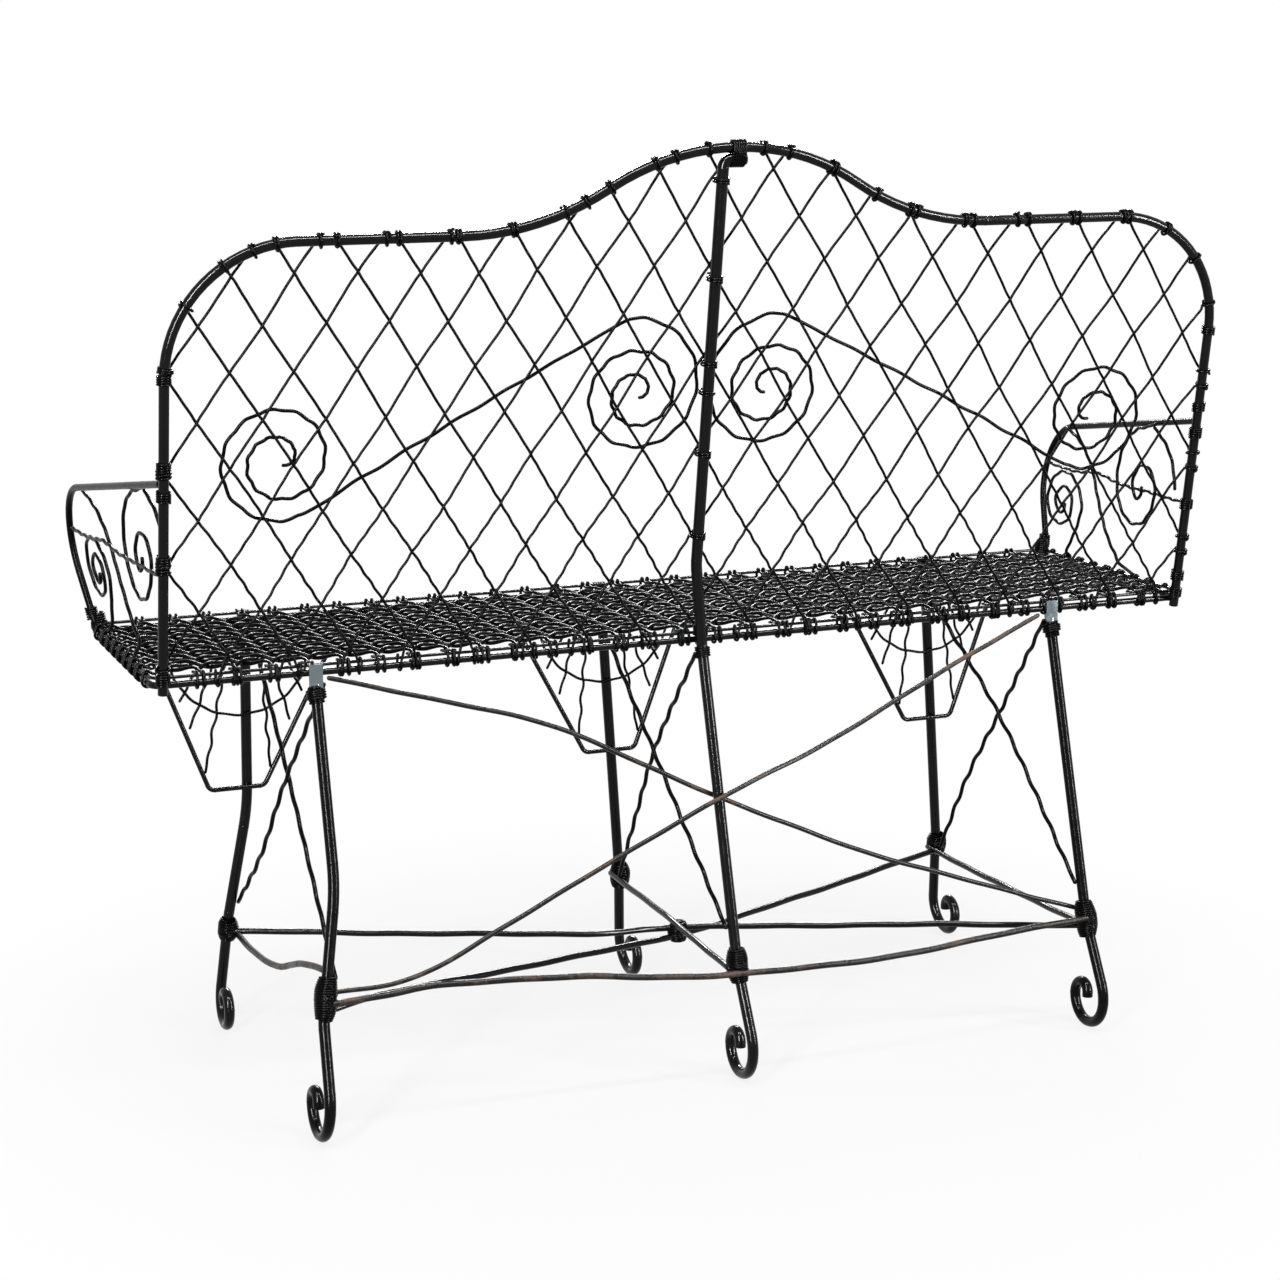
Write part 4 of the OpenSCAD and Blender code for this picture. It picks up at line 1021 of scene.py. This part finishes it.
@dataclass
class BracketWires:
    """The arc and the rays of one bracket in the plane of the front legs.

    RAYS gives each ray's distance from the leg at its top, its height at the bracket's rod and
    the phase of its crimps.
    """

    word: str
    leg: Leg
    wire_r: float = 1.5
    arc_r: float = 76.0
    low_z: float = 262.0
    low_wide: float = 58.0
    high_wide: float = 214.0
    layer: float = 3.3

    RAYS = ((13.5, 276.0, 0.0), (17.5, 322.0, 0.3), (24.0, 352.0, 0.6))

    def middle(self, z: float) -> float:
        """Middle of the bracket at height z, which leans with its leg."""
        end = self.leg.value[0]
        return end * LEG_X + self.leg.spread * (SEAT_H - z) / SEAT_H + (1 - end) * 4.5

    def half(self, z: float) -> float:
        """Half the width of the bracket at height z, growing evenly from its foot to the seat."""
        grown = (z - self.low_z) / (SEAT_H - self.low_z)
        return (self.low_wide + (self.high_wide - self.low_wide) * grown) / 2

    def build(self, finishes: Finishes) -> None:
        """Makes the arc and six rays.

        Args:
            finishes: Material for each slot.
        """
        y = Leg.FRONT_CENTRE.at(self.low_z)[1] + LEG_R + 2.5 + 0.6
        x = self.middle((LEG_TOP_Z + self.low_z) / 2)
        a = np.radians(np.linspace(180.0, 360.0, 49))
        arc = np.stack([x + self.arc_r * np.cos(a), np.full_like(a, y + self.layer),
                        LEG_TOP_Z - 20.0 + self.arc_r * np.sin(a)], axis=1)
        top = LEG_TOP_Z - 0.3
        ends = [[[arc[k, 0], y + self.layer, top]] for k in (0, -1)]
        arc = np.concatenate([ends[0], arc, ends[1]])
        sheaf = Sheaf(f"bracket_arc_and_rays_{self.word}", Slot.WIRE)
        sheaf.add(crimped(evened(arc, 3.0), REARWARD, 0.5, 27.0), self.wire_r, REARWARD)
        leg_top = self.leg.at(SEAT_H)[0]
        for s in (-1, 1):
            for start, z, phase in self.RAYS:
                p = np.array([leg_top + s * start, y, LEG_TOP_Z - 1.5])
                q = np.array([self.middle(z) + s * self.half(z), y, z])
                q = q - unit(q - p) * (6.0 if z < 300 else 9.0)
                ray = crimped(evened(np.stack([p, q]), 3.0), REARWARD, 1.3, 30.0, phase)
                sheaf.add(ray, self.wire_r, REARWARD)
        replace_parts(sheaf.build(finishes), f"bracket_wires_{self.word}")


@dataclass
class Lashings:
    """Turns of wire that bind the posts, the crest, the legs and the ties.

    POSTS gives the heights of the coils on each post, and KNEES the height of the middle of
    each leg's knot and its length.
    """

    wire_r: float = 1.1
    gap: float = 0.15
    arm_turns: float = 5.2
    arm_knot: tuple[float, float] = (6.6, 6.8)
    arm_knot_h: float = 24.0
    crest_turns: float = 5.5
    crest_pitch: float = 2.3
    crest_first: float = -8.5
    tie_knot: tuple[float, float] = (9.5, 9.5)
    tie_knot_h: float = 20.0
    draws: np.random.Generator = field(default_factory=lambda: np.random.default_rng(5))

    POSTS = {1: (8, 122, 183.5, 211, 292), -1: (8, 27, 106, 183.5, 211, 292)}
    KNEES = {Leg.FRONT_LEFT: (106.5, 23.0), Leg.FRONT_CENTRE: (TIE_Z + 5.0, 29.0),
             Leg.FRONT_RIGHT: (TIE_Z - 3.0, 25.0), Leg.REAR_LEFT: (139.0, 42.0),
             Leg.REAR_CENTRE: (TIE_Z + 9.0, 34.0), Leg.REAR_RIGHT: (119.0, 38.0)}

    def turns(self, sheaf: Sheaf, centre: Array, axis: Array, rod_r: float, n: float,
              grow: float = 0.0) -> None:
        """Adds a tight coil round a rod.

        Args:
            sheaf: The sheaf that it goes to.
            centre: Middle of the coil.
            axis: Direction of the rod.
            rod_r: Radius of the rod.
            n: Number of turns.
            grow: Extra radius, for a second layer.
        """
        r = rod_r + self.wire_r + self.gap + grow
        start = np.cross(axis, unit(self.draws.normal(size=3)))
        path = coil(np.asarray(centre, float), axis, start, (r, r), 2 * self.wire_r + 0.12, n)
        wob = 0.25 * np.sin(np.arange(len(path)) * 0.83 + self.draws.uniform(0, 6))[:, None]
        sheaf.add(path + unit(np.asarray(axis, float)) * wob, self.wire_r, axis)

    def crosswise(self, sheaf: Sheaf, centre: Array, a: Array, b: Array, r_a: float, r_b: float,
                  n: int) -> None:
        """Adds turns that bind two crossing rods, once over each diagonal.

        Each turn is an oval square to a diagonal: as deep as both rods and as wide as their
        crossing.

        Args:
            sheaf: The sheaf that it goes to.
            centre: Point midway between the two rods.
            a: Direction of the first rod.
            b: Direction of the second rod.
            r_a: Radius of the first rod.
            r_b: Radius of the second rod.
            n: Turns on each diagonal.
        """
        a, b = unit(np.asarray(a, float)), unit(np.asarray(b, float))
        deep = unit(np.cross(a, b))
        for diagonal in (a + b, a - b):
            axis = unit(diagonal)
            r = (r_a + r_b + self.wire_r + 0.3, (r_a + r_b) * 0.86)
            path = coil(centre, axis, deep, r, 2 * self.wire_r + 0.15, n + 0.35, 16,
                        self.draws.uniform())
            sheaf.add(path, self.wire_r, axis)

    def posts(self, sheaf: Sheaf) -> None:
        """Winds the coils on the two posts of the hoop, and the knots of the arms' feet.

        Args:
            sheaf: The sheaf that they go to.
        """
        for side, places in self.POSTS.items():
            axis = unit(on_back(side * HOOP_HALF, SHOULDER_H) - on_back(side * HOOP_FOOT, 0.0))
            for h in places:
                centre = on_back(side * post_half(np.array(float(h))), h)
                self.turns(sheaf, centre, axis, HOOP_R, 4.6 if h < 200 else 3.7)
        self.arm_feet(sheaf)

    def arm_feet(self, sheaf: Sheaf) -> None:
        """Adds the knots that bind the front ends of the arm rails to the seat's corners.

        Args:
            sheaf: The sheaf that they go to.
        """
        for side in (1, -1):
            low, high = on_arm(side, -RAIL_Y + 0.5, 449.0), on_arm(side, -RAIL_Y - 3.5, 468.0)
            self.turns(sheaf, (low + high) / 2, high - low, ARM_R, self.arm_turns)
            self.barrel(sheaf, np.array([side * 541.5, -RAIL_Y + 3.0, 447.0]), UPWARD, ACROSS,
                        self.arm_knot, self.arm_knot_h)

    def crest(self, sheaf: Sheaf) -> None:
        """Winds the oval coil that binds the bent top of the post to the hoop.

        Args:
            sheaf: The sheaf that they go to.
        """
        rise = HOOP_R + LEG_R + 0.6
        a = np.linspace(0.0, self.crest_turns, 100)
        w = TURN * a
        r = LEG_R + self.wire_r + 0.2
        lean = np.cos(w)
        h = CREST_H - 0.3 - rise / 2 + (rise / 2) * np.tanh(3.5 * lean) + r * lean
        x = KNOB_X + self.crest_first + self.crest_pitch * a
        path = on_back(x, h, r * np.sin(w))
        sheaf.add(path, self.wire_r, ACROSS)

    def barrel(self, sheaf: Sheaf, centre: Array, axis: Array, toward: Array,
               radii: tuple[float, float], height: float) -> None:
        """Adds one hand-wound knot: a coil that swells in its middle, and two loose slant turns.

        The coil's radius is the given one times the root of one less the square of the
        distance from the middle, as a share of the height.

        Args:
            sheaf: The sheaf that it goes to.
            centre: Middle of the knot.
            axis: Direction of the rod that it winds round.
            toward: Direction of the first radius.
            radii: Half widths towards that direction and square to it.
            height: Length of the knot along the axis.
        """
        axis = unit(np.asarray(axis, float))
        step = 2 * self.wire_r + 0.05
        path = coil(centre, axis, toward, (1.0, 1.0), step, height / step, 18,
                    self.draws.uniform())
        up = (path - centre) @ axis
        swell = np.sqrt(np.clip(1.06 - (up / height * 1.5) ** 2, 0.2, 1.0))
        swell = swell + 0.05 * np.sin(np.arange(len(path)) * 0.37 + self.draws.uniform(0, 6))
        a = unit(toward - axis * np.dot(toward, axis))
        b = np.cross(axis, a)
        flat = (path - centre) - up[:, None] * axis
        p, q = flat @ a, flat @ b
        path = (centre + axis * up[:, None] + a * (p * radii[0] * swell)[:, None]
                + b * (q * radii[1] * swell)[:, None])
        sheaf.add(path, self.wire_r, axis)
        for tilt in (0.55, -0.6):
            slant = unit(axis + tilt * b)
            r = (radii[0] * 1.06 + self.wire_r * 0.6, radii[1] * 0.98 + self.wire_r * 0.6)
            loose = coil(centre + axis * height * 0.04 * np.sign(tilt), slant, a, r,
                         2 * self.wire_r, 1.6, 18, self.draws.uniform())
            sheaf.add(loose, self.wire_r, slant)

    def knees(self, sheaf: Sheaf) -> None:
        """Winds the knots where the ties meet the legs.

        Args:
            sheaf: The sheaf that they go to.
        """
        for leg, (z, height) in self.KNEES.items():
            rear = leg.value[1]
            toward = -REARWARD if rear else REARWARD
            wide = (LEG_R + 2 * TIE_R - 0.5) if rear else (LEG_R + TIE_R + 2.6)
            self.barrel(sheaf, leg.at(z) + toward * (0.0 if rear else 3.0), leg.way_up(z),
                        toward, (wide, LEG_R + TIE_R + 0.9), height)

    def leg_tops(self, sheaf: Sheaf) -> None:
        """Winds the coils under the legs' flat tops, and on the centre post at the rail.

        Args:
            sheaf: The sheaf that they go to.
        """
        z = EDGE_Z + EDGE_R - TAB_H - 4.0
        for leg in Leg:
            if leg is not Leg.REAR_CENTRE:
                self.turns(sheaf, leg.at(z), leg.way_up(z), LEG_R, 6.6)
                self.turns(sheaf, leg.at(z + 1.0), leg.way_up(z), LEG_R, 3.4, 2.1)
        post = Leg.REAR_CENTRE
        for height in (RAIL_R + 8.0, -RAIL_R - 8.0):
            self.turns(sheaf, post.at(SEAT_H + height) + REARWARD * (1.2 if height > 0 else 0.0),
                       UP_SLOPE if height > 0 else post.way_up(SEAT_H - 9.0), LEG_R, 4.5)

    def ties(self, sheaf: Sheaf) -> None:
        """Winds the long ties where they cross: a coil on each, and a knot round both.

        Args:
            sheaf: The sheaf that they go to.
        """
        knot = np.array([*KNOT, TIE_Z])
        high = [Leg.FRONT_LEFT.at(TIE_Z), Leg.REAR_RIGHT.at(TIE_Z)]
        low = [Leg.FRONT_RIGHT.at(TIE_Z), Leg.REAR_LEFT.at(TIE_Z)]
        level = ACROSS + REARWARD
        for ends, drop in ((high, 0.0), (low, TIE_STEP)):
            axis = unit((ends[1] - ends[0]) * level)
            self.turns(sheaf, knot - UPWARD * drop, axis, TIE_R, 4.4)
        self.crosswise(sheaf, knot - UPWARD * TIE_STEP / 2, unit((high[1] - high[0]) * level),
                       unit((low[1] - low[0]) * level), TIE_R + 1.2, TIE_R + 1.2, 4)
        self.barrel(sheaf, knot - UPWARD * TIE_STEP / 2, UPWARD, ACROSS, self.tie_knot,
                    self.tie_knot_h)

    def build(self, finishes: Finishes) -> None:
        """Makes every lashing.

        Args:
            finishes: Material for each slot.
        """
        for name, fill, node in (("post_coils", self.posts, "post_lashings"),
                                 ("crest_coil", self.crest, "crest_lashing"),
                                 ("knee_coils", self.knees, "knee_lashings"),
                                 ("leg_top_coils", self.leg_tops, "leg_top_lashings"),
                                 ("tie_knot_coils", self.ties, "cross_lashings")):
            sheaf = Sheaf(name, Slot.LASHING)
            fill(sheaf)
            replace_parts(sheaf.build(finishes), node)


BUMP_DEPTH = 0.0006
# Colour of the bright steel that is a painted highlight on the rear legs' tops.
HIGHLIGHT_STEEL = (0.11, 0.13, 0.14, 1.0)
PATCHES, SPECKLE, BRUSHED = (24.0, 4.0, 0.6), (420.0, 3.0, 0.7), (120.0, 2.0, 0.5)
PIT_SCALE = 310.0


def plain(store: bpy.types.bpy_prop_collection, name: str) -> tuple[bpy.types.ID, Tree]:
    """Makes a material or a world with an empty node tree.

    Args:
        store: Blender's materials or worlds.
        name: Name of the new one.

    Returns:
        The material or world, and its node tree.
    """
    made = store.new(name)
    made.use_nodes = True
    made.node_tree.nodes.clear()
    return made, made.node_tree


def node(tree: Tree, kind: str, inputs: dict[str | int, object] | None = None,
         **settings: object) -> bpy.types.Node:
    """Adds a shader node.

    Args:
        tree: Tree that it goes to.
        kind: Its kind.
        inputs: A constant value or a socket to join for each input, by name or number.
        settings: Its other settings.

    Returns:
        The node.
    """
    made = tree.nodes.new(f"ShaderNode{kind}")
    for key, value in settings.items():
        setattr(made, key, value)
    for key, value in (inputs or {}).items():
        if isinstance(value, Socket):
            tree.links.new(value, made.inputs[key])
        else:
            made.inputs[key].default_value = value
    return made


@dataclass(frozen=True)
class Finish:
    """A painted or rusted surface of iron, and the painted highlight of bright steel."""

    slot: Slot
    paint: tuple[float, float, float]
    rust: tuple[float, float, float]
    rust_share: float
    gloss_low: float
    gloss_high: float
    specular: float
    bump: float
    # Height in metres above which bright steel stands in as a painted highlight; 9 is never
    # reached.
    highlight_from: float = 9.0
    name: str = ""

    def material(self, wear_and_highlight: Tree) -> Material:
        """Makes the material: a Principled shader fed by the rust and highlight group.

        Args:
            wear_and_highlight: The shared node group.

        Returns:
            The material.
        """
        material, tree = plain(bpy.data.materials, self.name or self.slot.value)
        group = tree.nodes.new("ShaderNodeGroup")
        group.node_tree = wear_and_highlight
        for name, value in (("Paint", (*self.paint, 1.0)), ("Rust", (*self.rust, 1.0)),
                            ("Rust Share", self.rust_share), ("Gloss Low", self.gloss_low),
                            ("Gloss High", self.gloss_high), ("Painted Highlight From", self.highlight_from)):
            group.inputs[name].default_value = value
        place = node(tree, "TexCoord").outputs["Object"]
        tree.links.new(place, group.inputs["Vector"])
        seen = group.outputs
        bump = node(tree, "Bump", {"Strength": self.bump, "Distance": BUMP_DEPTH,
                                   "Height": seen["Height"]})
        shader = node(tree, "BsdfPrincipled", {
            "Specular IOR Level": self.specular, "Base Color": seen["Color"],
            "Roughness": seen["Roughness"], "Metallic": seen["Painted Highlight"],
            "Normal": bump.outputs["Normal"]})
        node(tree, "OutputMaterial", {"Surface": shader.outputs["BSDF"]})
        return material


FINISHES = (
    Finish(Slot.ROD, paint=(0.0006, 0.0006, 0.0007), rust=(0.008, 0.005, 0.003),
           rust_share=0.10, gloss_low=0.09, gloss_high=0.20, specular=0.12, bump=0.22),
    Finish(Slot.WIRE, paint=(0.0005, 0.0005, 0.0006), rust=(0.005, 0.003, 0.002),
           rust_share=0.10, gloss_low=0.14, gloss_high=0.28, specular=0.035, bump=0.25),
    Finish(Slot.LASHING, paint=(0.0005, 0.0005, 0.0006), rust=(0.005, 0.003, 0.002),
           rust_share=0.10, gloss_low=0.12, gloss_high=0.28, specular=0.04, bump=0.25),
    Finish(Slot.RUSTED, paint=(0.0025, 0.0022, 0.002), rust=(0.020, 0.012, 0.008),
           rust_share=0.60, gloss_low=0.20, gloss_high=0.42, specular=0.12, bump=0.4),
)
# The rear legs' flat tops turn to bright steel above 0.432 m: a painted highlight.
HIGHLIT_TOPS = replace(FINISHES[0], gloss_low=0.12, gloss_high=0.26, specular=0.06,
                    highlight_from=0.432, name="black_rod_painted_highlight_top")


def wear_and_highlight_group() -> Tree:
    """The shared rust, gloss and pits of old painted iron, and its painted highlight.

    A broad noise gives patches where rust shows through the paint: they begin at 0.78 less
    0.42 of the rust share. A finer one varies the gloss, which rust dulls, and small cells
    with a fine noise give the pitted, brushed surface. Above a height that the brushed noise
    makes ragged, the metal turns to bright steel: a painted highlight.

    Returns:
        The node group, with outputs for colour, roughness, height and bare metal.
    """
    tree = bpy.data.node_groups.new("painted_iron_wear_and_highlight", "ShaderNodeTree")
    for way, kind, names in (
            ("INPUT", "Vector", ("Vector",)), ("INPUT", "Color", ("Paint", "Rust")),
            ("INPUT", "Float", ("Rust Share", "Gloss Low", "Gloss High", "Painted Highlight From")),
            ("OUTPUT", "Color", ("Color",)), ("OUTPUT", "Float", ("Roughness", "Height", "Painted Highlight"))):
        for name in names:
            tree.interface.new_socket(name, in_out=way, socket_type=f"NodeSocket{kind}")
    given = tree.nodes.new("NodeGroupInput").outputs
    result = tree.nodes.new("NodeGroupOutput").inputs

    def noise(scale: float, detail: float, rough: float) -> Socket:
        """A noise texture on the piece's own coordinates."""
        return node(tree, "TexNoise", {"Vector": given["Vector"], "Scale": scale,
                                       "Detail": detail, "Roughness": rough}).outputs["Fac"]

    def maths(kind: str, a: object, b: object) -> Socket:
        """A node of arithmetic on two sockets or numbers."""
        return node(tree, "Math", {0: a, 1: b}, operation=kind).outputs[0]

    def mixed(share: object, a: object, b: object) -> Socket:
        """A mix of two colours, by the share of the second."""
        return node(tree, "Mix", {0: share, 6: a, 7: b}, data_type="RGBA").outputs[2]

    patches, speckle, brush = noise(*PATCHES), noise(*SPECKLE), noise(*BRUSHED)
    pits = node(tree, "TexVoronoi", {"Vector": given["Vector"], "Scale": PIT_SCALE})
    both = maths("ADD", maths("MULTIPLY", patches, 0.72), maths("MULTIPLY", speckle, 0.28))
    edge = maths("SUBTRACT", 0.78, maths("MULTIPLY", given["Rust Share"], 0.42))
    mask = node(tree, "MapRange", {"Value": both, "From Min": edge,
                                   "From Max": maths("ADD", edge, 0.11)},
                clamp=True).outputs["Result"]
    ragged = maths("ADD", node(tree, "SeparateXYZ", {0: given["Vector"]}).outputs["Z"],
                   maths("MULTIPLY", brush, 0.012))
    # Painted highlight: bright metallic steel above the given height, with a ragged edge.
    painted_highlight = node(tree, "MapRange", {"Value": ragged, "From Min": given["Painted Highlight From"],
                                   "From Max": maths("ADD", given["Painted Highlight From"], 0.003),
                                   "To Max": 0.85}, clamp=True).outputs["Result"]
    gloss = node(tree, "MapRange", {"Value": brush, "From Min": 0.3, "From Max": 0.7,
                                    "To Min": given["Gloss Low"], "To Max": given["Gloss High"]},
                 clamp=True).outputs["Result"]
    for name, socket in (
            ("Color", mixed(painted_highlight, mixed(mask, given["Paint"], given["Rust"]), HIGHLIGHT_STEEL)),
            ("Painted Highlight", painted_highlight),
            ("Roughness", maths("ADD", gloss, maths("MULTIPLY", mask, 0.3))),
            ("Height", maths("ADD", maths("MULTIPLY", pits.outputs["Distance"], 0.45),
                             maths("MULTIPLY", speckle, 0.55)))):
        tree.links.new(socket, result[name])
    return tree


@dataclass
class CarriedRods:
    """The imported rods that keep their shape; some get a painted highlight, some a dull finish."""

    # Legs whose flat tops get bright steel as a painted highlight.
    highlit_tops: tuple[str, ...] = ("rear_leg_left", "rear_leg_right")
    dull: tuple[str, ...] = ("arm_rail_left", "arm_rail_right")

    def dress(self, finishes: Finishes, highlit_tops: Material) -> None:
        """Gives each rod its finish, with bright steel as a painted highlight on the rear legs'
        tops.

        Args:
            finishes: Material for each slot.
            highlit_tops: Material of the legs whose tops get the painted highlight.
        """
        for name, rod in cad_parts.items():
            finish = finishes[Slot.WIRE] if name in self.dull else finishes[Slot.ROD]
            finish = highlit_tops if name in self.highlit_tops else finish
            rod.data.materials.clear()
            rod.data.materials.append(finish)
            LOG.info("%s: %s", name, finish.name)


@dataclass
class Studio:
    """Floor, lamps, world and camera."""

    eye: tuple[float, float, float] = (1018.71, 2596.07, 983.09)
    yaw: float = 0.37084
    pitch: float = 0.20196
    roll: float = -0.00895
    lens: float = 77.19
    sensor: float = 36.0
    floor_half: float = 30.0
    floor_grey: float = 0.13
    fade: tuple[float, float] = (0.35, 0.92)
    glow: tuple[float, float] = (0.82, 1.0)
    aim: tuple[float, float, float] = (0.0, 0.0, 0.45)

    LAMPS = {"key": ((2.6, 2.6, 1.6), (0.20, 2.8), 520.0),
             "side": ((-2.4, 2.6, 1.4), (0.16, 2.6), 330.0),
             "top": ((0.2, 1.3, 3.2), (3.6, 0.20), 400.0),
             "front": ((-1.2, -3.2, 2.2), (1.8, 0.3), 220.0)}

    def camera(self) -> None:
        """Makes the camera at the photograph's place, looking along its fitted direction."""
        data = bpy.data.cameras.new("camera")
        data.lens, data.sensor_width, data.sensor_fit = self.lens, self.sensor, "HORIZONTAL"
        data.clip_start, data.clip_end = 0.05, 100.0
        camera = bpy.data.objects.new("camera", data)
        bpy.context.scene.collection.objects.link(camera)
        cy, sy, cp, sp = (math.cos(self.yaw), math.sin(self.yaw), math.cos(self.pitch),
                          math.sin(self.pitch))
        ahead = Vector((-sy * cp, -cy * cp, -sp))
        right = ahead.cross(Vector((0, 0, 1))).normalized()
        up = right.cross(ahead)
        cr, sr = math.cos(self.roll), math.sin(self.roll)
        right, up = cr * right + sr * up, cr * up - sr * right
        turn = Matrix((right, up, -ahead)).transposed().to_4x4()
        eye = Vector(self.eye) * MM + Vector((0, seat_middle(), 0))
        camera.matrix_world = Matrix.Translation(eye) @ turn
        bpy.context.scene.camera = camera

    def lamp(self, name: str, place: tuple[float, float, float], size: tuple[float, float],
             power: float) -> None:
        """Adds a soft rectangular lamp that faces the bench.

        Args:
            name: Its name.
            place: Its place, in metres.
            size: Its width and height.
            power: Its power in watts.
        """
        data = bpy.data.lights.new(name, "AREA")
        data.shape, data.size, data.size_y, data.energy = "RECTANGLE", size[0], size[1], power
        lamp = bpy.data.objects.new(name, data)
        lamp.location = place
        aim = Vector(self.aim) - Vector(place)
        lamp.rotation_euler = aim.to_track_quat("-Z", "Y").to_euler()
        bpy.context.scene.collection.objects.link(lamp)

    def seen(self, tree: Tree) -> Socket:
        """Tells which rays look at the surround.

        Args:
            tree: Tree that the nodes go to.

        Returns:
            One for rays from the camera, a reflection or a transmission, and nought for others.
        """
        path = node(tree, "LightPath").outputs
        total = path["Is Camera Ray"]
        for name in ("Is Glossy Ray", "Is Transmission Ray"):
            total = node(tree, "Math", {0: total, 1: path[name]}, operation="MAXIMUM").outputs[0]
        return total

    def world(self) -> None:
        """Makes a plain white surround that lights softly."""
        world, tree = plain(bpy.data.worlds, "studio")
        bpy.context.scene.world = world
        soft, white = (node(tree, "Background", {"Color": colour, "Strength": strength})
                       for colour, strength in (((0.9, 0.95, 1.0, 1.0), 0.7),
                                                ((1.0, 1.0, 1.0, 1.0), 1.0)))
        mix = node(tree, "MixShader", {0: self.seen(tree), 1: soft.outputs[0],
                                       2: white.outputs[0]})
        node(tree, "OutputWorld", {"Surface": mix.outputs[0]})

    def floor(self) -> None:
        """Makes a wide pale floor that keeps the bench's shadow and fades into the surround."""
        mesh = bpy.data.meshes.new("floor")
        r = self.floor_half
        mesh.from_pydata([(-r, -r, 0), (r, -r, 0), (r, r, 0), (-r, r, 0)], [], [(0, 1, 2, 3)])
        floor = bpy.data.objects.new("floor", mesh)
        bpy.context.scene.collection.objects.link(floor)
        material, tree = plain(bpy.data.materials, "pale_floor")
        matt = node(tree, "BsdfDiffuse", {"Color": (*(self.floor_grey,) * 3, 1.0)})
        glow = node(tree, "Emission", {"Strength": 1.0})
        place = node(tree, "TexCoord").outputs["Object"]
        far = node(tree, "VectorMath", {0: place}, operation="LENGTH").outputs["Value"]
        fade = node(tree, "MapRange", {"Value": far, "From Min": self.fade[0],
                                       "From Max": self.fade[1], "To Min": self.glow[0],
                                       "To Max": self.glow[1]},
                    interpolation_type="SMOOTHSTEP").outputs["Result"]
        share = node(tree, "Math", {0: self.seen(tree), 1: fade}, operation="MULTIPLY").outputs[0]
        mix = node(tree, "MixShader", {0: share, 1: matt.outputs[0], 2: glow.outputs[0]})
        node(tree, "OutputMaterial", {"Surface": mix.outputs[0]})
        mesh.materials.append(material)

    def build(self) -> None:
        """Sets up the whole studio."""
        self.camera()
        self.world()
        self.floor()
        for name, (place, size, power) in self.LAMPS.items():
            self.lamp(name, place, size, power)
        bpy.context.scene.view_settings.view_transform = "Standard"


def main() -> None:
    """Builds the bench's pieces in order, then the studio."""
    logging.basicConfig(level=logging.INFO, format="%(message)s")
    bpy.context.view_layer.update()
    wear_and_highlight = wear_and_highlight_group()
    finishes = {finish.slot: finish.material(wear_and_highlight) for finish in FINISHES}
    # The rear legs' tops get bright steel as a painted highlight.
    CarriedRods().dress(finishes, HIGHLIT_TOPS.material(wear_and_highlight))
    seat = SeatMesh()
    seat.build(finishes)
    BackLattice().build(finishes, seat)
    BackScroll(1, (426.0, 207.0), (82.0, 253.0)).build(finishes)
    BackScroll(-1, (416.0, 206.0), (54.0, 252.0)).build(finishes)
    for side in (1, -1):
        ArmWires(side).build(finishes)
    LowRods().build(finishes)
    LegStays("left", Leg.REAR_LEFT, Leg.FRONT_LEFT, -1).build(finishes)
    LegStays("centre", Leg.REAR_CENTRE, Leg.FRONT_CENTRE, 1,
             on_tie=TIE_Z + TIE_STEP).build(finishes)
    LegStays("right", Leg.REAR_RIGHT, Leg.FRONT_RIGHT, 1, shift=-10.0,
             on_tie=TIE_Z - TIE_STEP + 2.0).build(finishes)
    for word, leg in (("left", Leg.FRONT_LEFT), ("centre", Leg.FRONT_CENTRE),
                      ("right", Leg.FRONT_RIGHT)):
        BracketWires(word, leg).build(finishes)
    Lashings().build(finishes)
    Studio().build()


if __name__ == "__main__":
    main()
